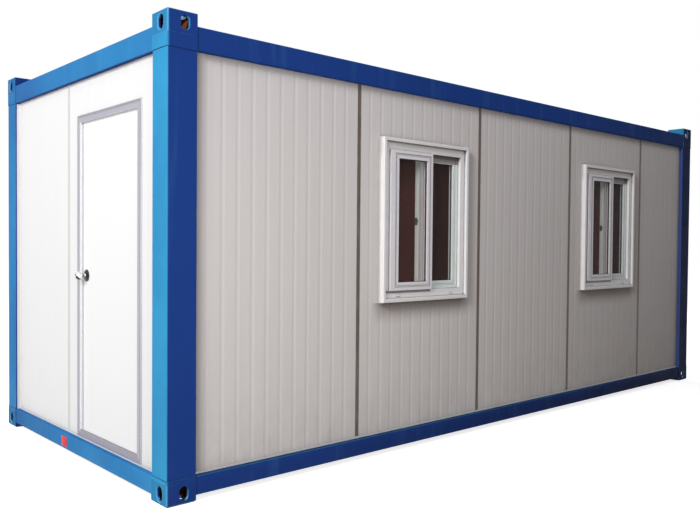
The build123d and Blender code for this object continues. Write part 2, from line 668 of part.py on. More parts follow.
# ---------------------------------------------------------------- windows
def window_surround(centre):
    """Deep box-like trim round a window, standing on the wall panel, with rounded front edges."""
    ring = front_box(
        centre - WINDOW_WIDTH / 2, centre + WINDOW_WIDTH / 2,
        -SURROUND_PROUD, PANEL_RECESS, WINDOW_SILL, WINDOW_SILL + WINDOW_HEIGHT,
    )
    ring -= window_hole(centre, -SURROUND_PROUD, PANEL_RECESS)
    return fillet(ring.faces().sort_by(Axis.Y)[0].edges(), SURROUND_EDGE)


def sash_middle(sash_depth):
    return sash_depth + SASH_THICKNESS / 2


def window_frame(centre):
    """Fixed frame through the panel, with a rail above and below each sash."""
    frame = window_hole(centre, WINDOW_FRAME_DEPTH, PANEL_BACK)
    frame -= window_hole(centre, WINDOW_FRAME_DEPTH, PANEL_BACK, WINDOW_FRAME_FACE)
    left = centre - window_half + WINDOW_FRAME_FACE
    right = centre + window_half - WINDOW_FRAME_FACE
    bottom = window_bottom + WINDOW_FRAME_FACE
    top = window_top - WINDOW_FRAME_FACE
    for depth in (OUTER_SASH_DEPTH, INNER_SASH_DEPTH):
        near = sash_middle(depth) - TRACK_RAIL / 2
        frame += front_box(left, right, near, near + TRACK_RAIL, bottom, bottom + SASH_TRACK_GAP)
        frame += front_box(left, right, near, near + TRACK_RAIL, top - SASH_TRACK_GAP, top)
    return frame


sash_reach = window_half - WINDOW_FRAME_FACE - SASH_SIDE_GAP
sash_width = sash_reach + SASH_OVERLAP / 2
sash_bottom = window_bottom + WINDOW_FRAME_FACE + SASH_TRACK_GAP
sash_top = window_top - WINDOW_FRAME_FACE - SASH_TRACK_GAP


def sash_edges(centre, outer):
    """Left and right edges of a sash: the outer one closes the left half, the inner one the right."""
    if outer:
        return centre - sash_reach, centre - sash_reach + sash_width
    return centre + sash_reach - sash_width, centre + sash_reach


def sash_daylight(centre, outer, near, far, border):
    """A box as large as the clear glass of a sash, with a border added all round."""
    left, right = sash_edges(centre, outer)
    jamb = OUTER_SASH_JAMB if outer else SASH_STILE
    return front_box(
        left + jamb - border, right - SASH_STILE + border,
        near, far, sash_bottom + SASH_RAIL - border, sash_top - SASH_RAIL + border,
    )


def glass_pane(centre, outer):
    """Pane held in the grooves of a sash."""
    depth = sash_middle(OUTER_SASH_DEPTH if outer else INNER_SASH_DEPTH)
    half = GLASS_THICKNESS / 2
    return sash_daylight(centre, outer, depth - half, depth + half, GLASS_EDGE)


def sash(centre, outer):
    """A sash with a sunk band round its bead, grooved for its pane."""
    left, right = sash_edges(centre, outer)
    near = OUTER_SASH_DEPTH if outer else INNER_SASH_DEPTH
    far = near + SASH_THICKNESS
    band_floor = near + SASH_GROOVE_DEPTH
    band = sash_daylight(centre, outer, near, band_floor, SASH_BEAD + SASH_GROOVE)
    band -= sash_daylight(centre, outer, near, band_floor, SASH_BEAD)
    body = front_box(left, right, near, far, sash_bottom, sash_top) - band
    body -= sash_daylight(centre, outer, near, far, 0)
    return body - glass_pane(centre, outer)


def latch(centre):
    """Crescent latch on the edge of the inner sash's meeting stile."""
    edge = sash_edges(centre, False)[0]
    middle = (sash_bottom + sash_top) / 2
    depth = sash_middle(INNER_SASH_DEPTH)
    plate = front_box(
        edge - LATCH_PLATE, edge, depth - LATCH_THICKNESS, depth + LATCH_THICKNESS,
        middle - LATCH_HEIGHT / 2, middle + LATCH_HEIGHT / 2,
    )
    crescent = Circle(LATCH_RADIUS) - Pos(0, LATCH_RADIUS) * Circle(LATCH_HOLLOW_RADIUS)
    place = Plane(origin=(edge, FRONT_FACE + depth, middle), x_dir=(0, 0, 1), z_dir=(-1, 0, 0))
    return plate + extrude(place * crescent, amount=LATCH_THICKNESS)


for number, centre in enumerate(window_centres, start=1):
    window_name = "window_" + str(number)
    save(window_name + "_surround", window_surround(centre))
    save(window_name + "_frame", window_frame(centre))
    save(window_name + "_outer_sash", sash(centre, True))
    save(window_name + "_inner_sash", sash(centre, False))
    save(window_name + "_glass", [glass_pane(centre, True), glass_pane(centre, False)])
save("window_latches", [latch(centre) for centre in window_centres])
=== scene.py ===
"""Looks of the shipping container cabin: finishes, window profiles, small fittings, light and camera."""
import json
import math

import bmesh
import bpy
from mathutils import Matrix, Vector


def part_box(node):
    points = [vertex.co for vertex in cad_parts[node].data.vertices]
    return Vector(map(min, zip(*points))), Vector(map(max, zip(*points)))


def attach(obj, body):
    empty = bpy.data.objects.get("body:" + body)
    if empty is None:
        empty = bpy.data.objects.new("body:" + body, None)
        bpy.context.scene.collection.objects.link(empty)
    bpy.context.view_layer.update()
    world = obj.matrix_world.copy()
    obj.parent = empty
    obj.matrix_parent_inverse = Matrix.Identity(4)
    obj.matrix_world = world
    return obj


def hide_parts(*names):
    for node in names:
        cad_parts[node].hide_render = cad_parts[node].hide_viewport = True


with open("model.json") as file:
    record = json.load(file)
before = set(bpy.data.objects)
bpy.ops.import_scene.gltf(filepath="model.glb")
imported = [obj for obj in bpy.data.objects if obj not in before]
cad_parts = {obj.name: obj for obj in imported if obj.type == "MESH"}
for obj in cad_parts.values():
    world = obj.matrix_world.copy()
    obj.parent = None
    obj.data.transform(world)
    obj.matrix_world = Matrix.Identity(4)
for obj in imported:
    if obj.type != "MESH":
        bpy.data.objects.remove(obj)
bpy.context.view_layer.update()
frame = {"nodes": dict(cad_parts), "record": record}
joint_places = {joint["name"]: joint["pos_m"] for joint in frame["record"]["behaviour"]["joints"]}


# ---- sizes, in metres
def halfway(first, second):
    return (first + second) / 2


def wall_rect(node, axis):
    """Left, bottom, right and top of a node in a wall that runs along an axis."""
    low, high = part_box(node)
    return low[axis], low.z, high[axis], high.z


def inset(rect, left, others):
    """A smaller rectangle: one margin on its left and another on its other sides."""
    return rect[0] + left, rect[1] + others, rect[2] - others, rect[3] - others


LENGTH, WIDTH, HEIGHT = 6.055, 2.435, 2.591
BLOCK_ALONG, BLOCK_ACROSS, BLOCK_HEIGHT = 0.178, 0.164, 0.118
BLOCK_PROUD = 0.004  # the blocks stand this far outside the posts and beams
BLOCK_SKIN = 0.0155  # a little less than the blocks' 16 mm plate
END_FACE = -LENGTH / 2 + BLOCK_PROUD
FRONT_FACE = -WIDTH / 2 + BLOCK_PROUD
POST_INSIDE_X = LENGTH / 2 - BLOCK_ALONG
POST_INSIDE_Y = WIDTH / 2 - BLOCK_ACROSS
FLOOR_BEAM = (0.033, 0.138)
ROOF_BEAM = (2.398, 2.526)
PANEL_DEPTH = 0.03  # from the steel's face back to the panels' face
INSIDE_X, INSIDE_Y = 2.9435, 1.1335
INSIDE_SHADE_SHIFT = 0.002  # the painted dark inside reaches this far into the panels

SURROUNDS = [wall_rect(f"window_{number}_surround", 0) for number in (1, 2)]
WINDOW_CENTRES = [halfway(rect[0], rect[2]) for rect in SURROUNDS]
WINDOW_HALF = (SURROUNDS[0][2] - SURROUNDS[0][0]) / 2
WINDOW_SILL, WINDOW_HEAD = SURROUNDS[0][1], SURROUNDS[0][3]
WINDOW_MIDDLE_Z = halfway(WINDOW_SILL, WINDOW_HEAD)
SASH_BOTTOM, SASH_TOP = wall_rect("window_1_outer_sash", 0)[1::2]
SASH_OVERLAP = 0.05  # each sash passes the window's centre by this much

DOOR_FRAME_RECT = wall_rect("door_frame", 1)
DOOR_FRAME_OUT = -0.025  # the frame's face, outwards from the steel's face
JAMB_WIDTH = 0.028  # the part of the frame that shows beside the leaf
LEAF_RECT = wall_rect("door_leaf", 1)
LEAF_FACES = [corner.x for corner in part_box("door_leaf")]
HINGE_X, HINGE_Y = joint_places["door_hinge"][:2]
HINGE_LENGTH = 0.1
HINGE_PLATE = 0.003
KNOB_Y, KNOB_Z = joint_places["knob_turn"][1:]


# ---- node helpers
class Shade:
    """A material being built, with short names for the nodes that this scene uses."""

    def __init__(self, name):
        self.material = bpy.data.materials.new(name)
        self.material.use_nodes = True
        self.tree = self.material.node_tree
        self.tree.nodes.clear()
        self.output = self.tree.nodes.new("ShaderNodeOutputMaterial")
        self.geometry = self.tree.nodes.new("ShaderNodeNewGeometry")

    def add(self, kind, **inputs):
        """A node with its inputs set: i0 means the first input, and _ stands for a space in a name."""
        node = self.tree.nodes.new(kind)
        for key, value in inputs.items():
            self.set(node, key, value)
        return node

    def set(self, node, key, value):
        numbered = key[0] == "i" and key[1:].isdigit()
        socket = node.inputs[int(key[1:])] if numbered else node.inputs[key.replace("_", " ")]
        if isinstance(value, bpy.types.NodeSocket):
            self.tree.links.new(value, socket)
        elif isinstance(value, tuple) and len(value) == 3 and socket.type == "RGBA":
            socket.default_value = (*value, 1)
        else:
            socket.default_value = value

    def math(self, operation, first, *others):
        """The operation on the first value and each of the others in turn."""
        for other in others or (0.0,):
            node = self.add("ShaderNodeMath", i0=first, i1=other)
            node.operation = operation
            first = node.outputs[0]
        return first

    def times(self, *values):
        return self.math("MULTIPLY", *values) if len(values) > 1 else values[0]

    def minus(self, *values):
        return self.math("SUBTRACT", *values)

    def size(self, value):
        return self.math("ABSOLUTE", value)

    def above(self, value, limit):
        return self.math("GREATER_THAN", value, limit)

    def below(self, value, limit):
        return self.math("LESS_THAN", value, limit)

    def dot(self, first, second):
        node = self.add("ShaderNodeVectorMath", i0=first, i1=second)
        node.operation = "DOT_PRODUCT"
        return node.outputs["Value"]

    def parts(self, output):
        """The X, Y and Z parts of one of the surface's vectors."""
        return self.add("ShaderNodeSeparateXYZ", Vector=self.geometry.outputs[output]).outputs[:]

    def position(self, stretch=(1, 1, 1)):
        node = self.add("ShaderNodeMapping", Vector=self.geometry.outputs["Position"])
        node.inputs["Scale"].default_value = stretch
        return node.outputs[0]

    def noise(self, scale, detail=3.0, stretch=(1, 1, 1)):
        node = self.add("ShaderNodeTexNoise", Vector=self.position(stretch), Scale=scale, Detail=detail)
        return node.outputs["Fac"]

    def spread(self, value, low, high, new_low=0.0, new_high=1.0):
        """The values between low and high, spread over the new range."""
        node = self.add("ShaderNodeMapRange", Value=value, From_Min=low, From_Max=high)
        node.inputs["To Min"].default_value = new_low
        node.inputs["To Max"].default_value = new_high
        return node.outputs[0]

    def patches(self, scale, detail, low, high, new_low=0.0, new_high=1.0, stretch=(1, 1, 1)):
        """Noise, spread over a range."""
        return self.spread(self.noise(scale, detail, stretch), low, high, new_low, new_high)

    def mix(self, factor, first, second):
        node = self.tree.nodes.new("ShaderNodeMix")
        node.data_type = "RGBA"
        for key, value in (("i0", factor), ("i6", first), ("i7", second)):
            self.set(node, key, value)
        return node.outputs[2]

    def cover(self, tone, colour, *masks):
        """Lay a colour over a tone, by all the masks and strengths multiplied."""
        return self.mix(self.times(*masks), tone, colour)

    def rounded(self, radius):
        """The normal with rounded edges."""
        return self.add("ShaderNodeBevel", Radius=radius).outputs[0]

    def edge_mask(self, rounded):
        """1 on rounded edges, 0 on flat faces."""
        return self.spread(self.dot(rounded, self.geometry.outputs["Normal"]), 0.995, 0.9)

    def crevice(self, reach, open_at=0.92, closed_at=0.45):
        """1 in inner corners closer than the reach, 0 on open faces."""
        node = self.add("ShaderNodeAmbientOcclusion", Distance=reach)
        node.samples = 8
        return self.spread(node.outputs["AO"], open_at, closed_at)

    def bump(self, height, strength, distance, normal=None):
        node = self.add("ShaderNodeBump", Strength=strength, Distance=distance, Height=height)
        if normal is not None:
            self.set(node, "Normal", normal)
        return node.outputs[0]

    def finish(self, shader):
        self.tree.links.new(shader.outputs[0], self.output.inputs["Surface"])
        return self.material

    def principled(self, **inputs):
        return self.finish(self.add("ShaderNodeBsdfPrincipled", **inputs))


def scaled(colour, *factors):
    """A colour times one factor, or times one factor for each channel."""
    factors = factors if len(factors) == 3 else factors * 3
    return tuple(min(channel * factor, 1.0) for channel, factor in zip(colour, factors))


def from_window(s, x):
    """How far a place stands from the nearer window's centre, to the right of it."""
    first, second = WINDOW_CENTRES
    on_second = s.above(x, halfway(first, second))
    return s.minus(x, first, s.times(on_second, second - first))


# ---- materials
def painted_steel(name, colour, lit_end_colour, worn_and_lit_edge_colour, beam_colour, block=False):
    """Sprayed paint with painted light: paler lit ends, tops and edges, painted shade towards the back and
    far off; scuffs, seams and primer in the blocks.
    """
    s = Shade(name)
    x, y, z = s.parts("Position")
    facing_x, facing_y, facing_z = s.parts("Normal")
    away_x, away_y = s.size(x), s.size(y)
    on_side = s.size(facing_y)
    rounded = s.rounded(0.004)
    edges = s.edge_mask(rounded)

    # painted light: faces turned to the lamps take the paler lit blues, the long sides the darker shadow
    # blue
    sunny = s.math("MAXIMUM", s.times(facing_x, -1.0), s.times(facing_x, 0.5), s.times(facing_z, 0.6), 0.0)
    # painted shade: the lit ends and end beams darker towards the back
    toward_back = s.spread(y, -1.2, 1.2)
    shaded_back, shaded_back_beam = (scaled(shade, 0.72, 0.62, 0.78) for shade in (lit_end_colour, beam_colour))
    on_roof_beam = s.mix(toward_back, beam_colour, shaded_back_beam)
    # painted light: the floor beams painted lighter than the roof beams
    on_floor_beam = s.mix(toward_back, scaled(beam_colour, 1.22), scaled(shaded_back_beam, 0.9))
    on_any_beam = s.mix(s.spread(z, 1.2, 1.1), on_roof_beam, on_floor_beam)
    on_beam = s.times(s.below(away_y, POST_INSIDE_Y), s.size(facing_x))
    on_end = s.mix(on_beam, s.mix(toward_back, lit_end_colour, shaded_back), on_any_beam)
    paint = s.mix(sunny, colour, on_end)

    clouds = s.patches(1.6, 5, 0.35, 0.7, 0.0, 0.35)
    paint = s.mix(clouds, paint, scaled(colour, 0.8))
    runs = s.patches(11, 5, 0.55, 0.75, 0.0, 0.08, (1, 1, 0.12))
    paint = s.mix(runs, paint, worn_and_lit_edge_colour)
    # scuffed edges, and all edges paler as a painted highlight
    scuffs_and_edge_highlight = s.patches(30, 5, 0.4, 0.62, 0.25, 1.0)
    paint = s.cover(paint, worn_and_lit_edge_colour, edges, scuffs_and_edge_highlight, 0.55)
    # painted highlight on the corner edges above the roof seam
    painted_corner_highlight = s.times(s.above(z, ROOF_BEAM[0]), s.above(away_x, LENGTH / 2 - 0.012))
    paint = s.cover(paint, worn_and_lit_edge_colour, edges, painted_corner_highlight, 0.85)

    dust = s.times(s.spread(z, 0.16, 0.0), s.patches(9, 6, 0.4, 0.7))
    paint = s.cover(paint, (0.16, 0.15, 0.15), dust, 0.1)
    # painted shade: the low sides darken towards the far end
    painted_low_far_shade = s.times(s.spread(z, 0.17, 0.09), s.spread(x, -2.9, 2.6, 0.05, 0.8))
    painted_low_far_shade = s.times(painted_low_far_shade, s.patches(5, 5, 0.25, 0.6, 0.7, 1.0))
    paint = s.cover(paint, (0.01, 0.009, 0.018), painted_low_far_shade, on_side)
    # painted shade: the long sides darken towards the far end and beside the far post, and the far posts'
    # inner sides are dulled
    far = s.times(s.spread(x, 1.0, 3.0, 0.0, 0.72), s.spread(z, 2.3, 0.3, 0.45, 1.0))
    paint = s.cover(paint, (0.003, 0.004, 0.02), far, on_side)
    painted_far_post_shade = s.spread(x, POST_INSIDE_X - 0.0195, POST_INSIDE_X + 0.0105, 0.0, 0.6)
    paint = s.cover(paint, (0.003, 0.005, 0.018), painted_far_post_shade, on_side)
    painted_far_side_shade = s.times(s.spread(facing_x, -0.6, -0.9), s.above(x, 0.0), s.below(z, ROOF_BEAM[0]))
    paint = s.cover(paint, (0.055, 0.072, 0.27), painted_far_side_shade, 0.92)
    ledge = s.times(s.spread(facing_z, 0.6, 0.9), s.below(z, 0.2), s.spread(away_y, 1.15, 1.18))
    paint = s.cover(paint, (0.016, 0.022, 0.06), ledge, s.patches(12, 5, 0.3, 0.6, 0.75, 0.95))

    if block:
        for seam in (HEIGHT - BLOCK_HEIGHT, BLOCK_HEIGHT):
            from_seam = s.size(s.minus(z, seam))
            paint = s.mix(s.spread(from_seam, 0.0016, 0.0004, 0.0, 0.55), paint, scaled(colour, 0.25))
        # painted highlight: slanted faces such as slot rims and chamfers are paler
        straight = s.math("MAXIMUM", s.size(facing_x), on_side, s.size(facing_z))
        paint = s.mix(s.spread(straight, 0.97, 0.8, 0.0, 0.75), paint, worn_and_lit_edge_colour)
        cavity = []
        for place, outside, depth in (
            (away_x, LENGTH / 2, BLOCK_ALONG),
            (away_y, WIDTH / 2, BLOCK_ACROSS),
            (s.size(s.minus(z, HEIGHT / 2)), HEIGHT / 2, BLOCK_HEIGHT),
        ):
            cavity.append(s.below(place, outside - BLOCK_SKIN))
            cavity.append(s.above(place, outside - depth + BLOCK_SKIN))
        primer = s.mix(s.patches(45, 6, 0.35, 0.65), (0.4, 0.125, 0.045), (0.1, 0.035, 0.02))
        paint = s.cover(paint, primer, s.patches(20, 4, 0.25, 0.45, 0.75, 1.0), *cavity)

    gloss = s.patches(6, 5, 0.3, 0.7, 0.34, 0.5)
    peel = s.bump(s.noise(420, 2), 0.05, 0.002, rounded)
    return s.principled(Base_Color=paint, Roughness=gloss, Normal=peel, Specular_IOR_Level=0.015)


def panel_skin(name, colour, painted_inside_shade=None):
    """Coil-coated steel: a slow ripple, rain streaks, dirt at the foot, paler painted-lit ends, and painted
    shade near posts and windows, far off and inside.
    """
    s = Shade(name)
    x, y, z = s.parts("Position")
    streaks = s.patches(5, 5, 0.35, 0.75, 0.0, 0.35, (6, 6, 0.25))
    tone = s.mix(streaks, colour, scaled(colour, 0.9))
    clouds = s.patches(0.9, 3, 0.35, 0.7, 0.0, 0.3)
    tone = s.mix(clouds, tone, scaled(colour, 0.97, 0.94, 0.93))
    foot = s.times(s.spread(z, 0.55, 0.14), s.patches(14, 6, 0.35, 0.75, stretch=(1, 1, 0.5)))
    tone = s.cover(tone, (0.42, 0.38, 0.33), foot, 0.3)
    # painted light: end faces get a paler, cooler white
    on_end = s.spread(s.size(s.parts("Normal")[0]), 0.8, 0.95)
    tone = s.cover(tone, scaled(colour[:1] * 3, 1.03, 1.045, 1.06), on_end, 0.8)

    if painted_inside_shade:
        away_x, away_y = s.size(x), s.size(y)
        on_front = s.spread(y, -1.12, -1.17)
        # painted shade: in corners, under the sills, right of the windows, beside the posts and towards the
        # far end
        shaded = s.times(s.crevice(0.13), s.patches(6, 3, 0.3, 0.7, 0.75, 1.0))
        tone = s.cover(tone, (0.12, 0.085, 0.07), shaded, 0.62)
        from_centre = from_window(s, x)
        under_sill = s.math("POWER", s.spread(z, WINDOW_SILL - 0.16, WINDOW_SILL), 1.6)
        under_sill = s.times(under_sill, s.below(z, WINDOW_SILL), s.spread(s.size(from_centre), 0.5, 0.4))
        tone = s.cover(tone, (0.095, 0.06, 0.042), under_sill, on_front, 0.85)
        past_side = s.minus(from_centre, WINDOW_HALF)
        beside_window = s.times(s.spread(past_side, 0.16, 0.0), s.above(past_side, 0.0))
        beside_window = s.times(beside_window, s.spread(z, 0.86, 1.0), s.spread(z, 2.09, 2.04))
        tone = s.cover(tone, (0.12, 0.095, 0.085), beside_window, on_front, 0.3)
        beside_post = s.spread(away_x, 2.8, 2.848)
        tone = s.cover(tone, (0.13, 0.085, 0.065), beside_post, on_front, 0.62)
        distant = s.times(s.spread(x, 0.6, 2.9), s.spread(z, 1.7, 0.2, 0.15, 1.0))
        tone = s.cover(tone, (0.2, 0.165, 0.155), distant, on_front, 0.34)
        # painted shade: the inside faces are dark brown, for the unlit room
        indoors = s.times(s.below(away_y, INSIDE_Y + INSIDE_SHADE_SHIFT), s.below(away_x, INSIDE_X + INSIDE_SHADE_SHIFT))
        painted_dark_inside = s.mix(s.patches(4, 6, 0.3, 0.7, stretch=(6, 6, 0.35)), painted_inside_shade, scaled(painted_inside_shade, 0.72))
        tone = s.mix(indoors, tone, painted_dark_inside)

    gloss = s.patches(8, 4, 0.3, 0.7, 0.36, 0.5)
    ripple = s.bump(s.noise(1.7, 2, (1, 1, 0.35)), 0.25, 0.02, s.rounded(0.0015))
    fine = s.bump(s.noise(700, 2), 0.03, 0.001, ripple)
    return s.principled(Base_Color=tone, Roughness=gloss, Normal=fine, Specular_IOR_Level=0.1)


def plastic(name, colour, mitred=False, rail_shade=False):
    """White PVC profile: slightly uneven gloss, a trace of grime, painted shade in recesses, under the heads
    and under the sashes, welded mitres.
    """
    s = Shade(name)
    x, _, z = s.parts("Position")
    tone = s.mix(s.patches(18, 6, 0.5, 0.8, 0.0, 0.3), colour, scaled(colour, 0.86))
    drips = s.patches(16, 4, 0.52, 0.75, 0.0, 0.3, (1, 1, 0.15))
    tone = s.mix(drips, tone, scaled(colour, 0.93, 0.9, 0.9))
    if mitred:
        from_centre = from_window(s, x)
        upright = s.size(s.minus(z, WINDOW_MIDDLE_Z))
        taller = (WINDOW_HEAD - WINDOW_SILL) / 2 - WINDOW_HALF
        diagonal = s.size(s.math("ADD", s.minus(s.size(from_centre), upright), taller))
        tone = s.mix(s.spread(diagonal, 0.0016, 0.0005, 0.0, 0.55), tone, (0.3, 0.3, 0.31))
        # painted shadow on the frame just under the outer sash
        painted_sash_shadow = s.times(s.spread(z, SASH_BOTTOM + 0.0025, SASH_BOTTOM + 0.0005),
                      s.spread(z, SASH_BOTTOM - 0.021, SASH_BOTTOM - 0.015))
        under_sash = s.times(s.below(from_centre, SASH_OVERLAP), s.above(from_centre, -0.396))
        tone = s.cover(tone, (0.075, 0.05, 0.055), painted_sash_shadow, under_sash, 0.8)
    # painted shade in the recesses under the window head
    under_head = s.spread(z, 1.935, 1.99)
    tone = s.cover(tone, (0.11, 0.075, 0.075), s.crevice(0.045, 0.8, 0.35), under_head, 0.85)
    if rail_shade:
        tone = s.mix(s.spread(z, 1.956, 1.96, 0.0, 0.72), tone, (0.13, 0.085, 0.08))
        tone = s.mix(s.spread(z, 1.986, 1.99, 0.0, 0.75), tone, (0.03, 0.02, 0.02))
    # painted shade in grooves and inner corners
    groove_strength = 0.35 if rail_shade else 0.8
    tone = s.cover(tone, (0.14, 0.11, 0.12), s.crevice(0.017, 0.85, 0.45), groove_strength)
    # painted shade on faces that look down
    soffit = s.times(s.spread(s.parts("Normal")[2], -0.7, -0.9), s.spread(z, 1.5, 1.6))
    tone = s.cover(tone, (0.085, 0.06, 0.06), soffit, 0.88)
    soft = s.bump(s.noise(90, 2), 0.04, 0.001, s.rounded(0.0015))
    gloss = s.patches(25, 3, 0.3, 0.7, 0.27, 0.4)
    return s.principled(Base_Color=tone, Roughness=gloss, Normal=soft, Specular_IOR_Level=0.3)


def joint_cover(name, front, end):
    """Folded cover strips: dark brown on the long walls as painted shade, light grey on the ends as painted
    light.
    """
    s = Shade(name)
    away_x = s.size(s.parts("Position")[0])
    tone = s.mix(s.above(away_x, LENGTH / 2 - 0.09), front, end)
    wear = s.patches(40, 5, 0.5, 0.75, 0.0, 0.25, (1, 1, 0.2))
    tone = s.mix(wear, tone, (0.36, 0.33, 0.31))
    fine = s.bump(s.noise(300, 2), 0.05, 0.001, s.rounded(0.001))
    return s.principled(Base_Color=tone, Roughness=0.5, Normal=fine, Specular_IOR_Level=0.3)


def framed_metal(name, lit_jamb, head, shaded_sill, lip):
    """Coated door frame with painted light and shade: pale lit jamb and reveals, greyer head, sill and hinge
    jamb, a shaded line round its edge.
    """
    s = Shade(name)
    _, y, z = s.parts("Position")
    _, facing_y, facing_z = s.parts("Normal")
    left, bottom, right, top = DOOR_FRAME_RECT
    from_ends = s.math("MINIMUM", s.minus(top, z), s.minus(z, bottom + 0.01))
    from_jambs = s.minus((right - left) / 2, s.size(s.minus(y, halfway(left, right))))
    on_ends = s.above(s.minus(from_jambs, from_ends), 0.0)
    on_latch_side = s.above(y, -0.3)
    # painted light and shade: the latch jamb pale, the head, sill and hinge jamb greyer
    tone = s.mix(on_ends, s.mix(on_latch_side, head, lit_jamb), s.mix(s.above(z, 1.0), shaded_sill, head))
    # painted shade in a band round the frame's outer edge
    edge = s.math("MINIMUM", from_ends, from_jambs)
    edge = s.minus(edge, s.times(on_latch_side, s.minus(1.0, on_ends), 0.015))
    tone = s.mix(s.spread(edge, 0.02, 0.01), tone, lip)
    # painted light: reveals that face the latch side or look down are pale
    painted_lit_reveal = s.math("MAXIMUM", s.spread(facing_y, -0.5, -0.8), s.spread(facing_z, -0.5, -0.8))
    tone = s.mix(painted_lit_reveal, tone, (0.92, 0.92, 0.95))
    mitre = s.size(s.minus(from_jambs, from_ends))
    tone = s.mix(s.spread(mitre, 0.0012, 0.0004, 0.0, 0.7), tone, (0.12, 0.12, 0.13))
    grain = s.noise(60, 3, (1, 1, 8))
    tone = s.mix(s.spread(grain, 0.35, 0.7, 0.0, 0.25), tone, scaled(head, 0.8))
    lines = s.bump(grain, 0.04, 0.0005, s.rounded(0.0012))
    return s.principled(Base_Color=tone, Roughness=0.42, Metallic=0.15, Normal=lines)


def bare_metal(name, colour, roughness, metallic):
    """Metal with a fine grain drawn along it."""
    s = Shade(name)
    grain = s.noise(60, 3, (1, 1, 60))
    tone = s.mix(s.spread(grain, 0.3, 0.7), scaled(colour, 0.88), scaled(colour, 1.08))
    lines = s.bump(grain, 0.08, 0.0005, s.rounded(0.001))
    gloss = s.patches(15, 3, 0.3, 0.7, roughness - 0.05, roughness + 0.08)
    return s.principled(Base_Color=tone, Roughness=gloss, Metallic=metallic, Normal=lines)


def polished(name, colour, shade, turn):
    """Chrome with a painted reflection: darker towards one direction, as if reflecting dark ground."""
    s = Shade(name)
    turned = s.dot(s.geometry.outputs["Normal"], Vector(turn).normalized())
    painted_reflection = s.spread(s.math("ADD", turned, s.patches(180, 4, 0.3, 0.7, -0.05, 0.05)), 0.05, 0.4)
    gloss = s.patches(60, 3, 0.3, 0.7, 0.1, 0.18)
    return s.principled(Base_Color=s.mix(painted_reflection, colour, shade), Roughness=gloss, Metallic=1.0)


def galvanised(name):
    """Hot-dip zinc with its spangle."""
    s = Shade(name)
    cells = s.add("ShaderNodeTexVoronoi", Vector=s.position(), Scale=70.0)
    tone = s.mix(s.spread(cells.outputs["Distance"], 0.0, 0.9), (0.42, 0.44, 0.46), (0.6, 0.62, 0.64))
    gloss = s.patches(30, 3, 0.3, 0.7, 0.35, 0.55)
    return s.principled(Base_Color=tone, Roughness=gloss, Metallic=0.75)


def vinyl(name):
    """Speckled floor covering."""
    s = Shade(name)
    chips = s.add("ShaderNodeTexVoronoi", Vector=s.position(), Scale=160.0)
    tone = s.mix(s.spread(chips.outputs["Distance"], 0.1, 0.6), (0.24, 0.23, 0.21), (0.44, 0.42, 0.39))
    tone = s.mix(s.patches(3, 4, 0.4, 0.7, 0.0, 0.3), tone, (0.3, 0.28, 0.25))
    return s.principled(Base_Color=tone, Roughness=0.42, Normal=s.bump(s.noise(300, 2), 0.08, 0.001))


def window_glass(name):
    """Thin pane with a few smears, see-through by its alpha; its brown tone is painted shade of the room
    behind.
    """
    s = Shade(name)
    _, y, z = s.parts("Position")
    # painted shade: brown for the dark room behind, darker at the top and in the inner sash
    tone = s.mix(s.patches(9, 3, 0.35, 0.7), (0.27, 0.1, 0.086), (0.38, 0.15, 0.13))
    tone = s.mix(s.spread(z, 1.76, 1.95, 0.0, 0.75), tone, (0.05, 0.04, 0.04))
    in_inner_sash = s.above(y, -1.18)
    tone = s.cover(tone, (0.1, 0.055, 0.06), in_inner_sash, 0.55)
    smears = s.patches(12, 4, 0.4, 0.8, 0.02, 0.1, (1, 1, 0.4))
    return s.principled(Base_Color=tone, Roughness=smears, Alpha=0.12, IOR=1.45)


def plain(name, colour, roughness=0.6, grain=120):
    """A matt rubber, paint or plastic with a fine grain."""
    s = Shade(name)
    tone = s.mix(s.patches(grain, 4, 0.3, 0.7), scaled(colour, 0.8), colour)
    fine = s.bump(s.noise(grain * 3, 2), 0.05, 0.001)
    return s.principled(Base_Color=tone, Roughness=roughness, Normal=fine, Specular_IOR_Level=0.15)


# lit and shaded copies of one blue paint: painted light on the ends and beams, painted shade on the long
# sides
SHADOW_BLUE, LIT_END_BLUE, WORN_AND_LIT_EDGE_BLUE = (0.018, 0.061, 0.295), (0.042, 0.345, 0.618), (0.12, 0.42, 0.74)
LIT_BEAM_BLUE, LIT_BLOCK_END_BLUE = (0.037, 0.266, 0.55), (0.034, 0.27, 0.5)
BLUE = painted_steel("frame_blue_paint", SHADOW_BLUE, LIT_END_BLUE, WORN_AND_LIT_EDGE_BLUE, LIT_BEAM_BLUE)
BLOCK_BLUE = painted_steel("block_blue_paint", SHADOW_BLUE, LIT_BLOCK_END_BLUE, WORN_AND_LIT_EDGE_BLUE, LIT_BEAM_BLUE, block=True)
WALL = panel_skin("wall_panel_skin", (0.765, 0.735, 0.733), painted_inside_shade=(0.2, 0.125, 0.1))
DOOR_SKIN = panel_skin("door_skin", (0.8, 0.795, 0.8))
ROOF = panel_skin("roof_sheet_skin", (0.62, 0.63, 0.65))
STRIP = joint_cover("joint_strip_cover", (0.13, 0.098, 0.082), (0.6, 0.6, 0.61))
TRACK = bare_metal("track_metal", (0.66, 0.66, 0.67), 0.45, 0.2)
DOOR_FRAME = framed_metal("door_frame_metal", lit_jamb=(0.78, 0.78, 0.83), head=(0.37, 0.36, 0.425),
                          shaded_sill=(0.245, 0.235, 0.285), lip=(0.26, 0.255, 0.3))
STAINLESS = bare_metal("hardware_metal", (0.55, 0.54, 0.53), 0.24, 1.0)
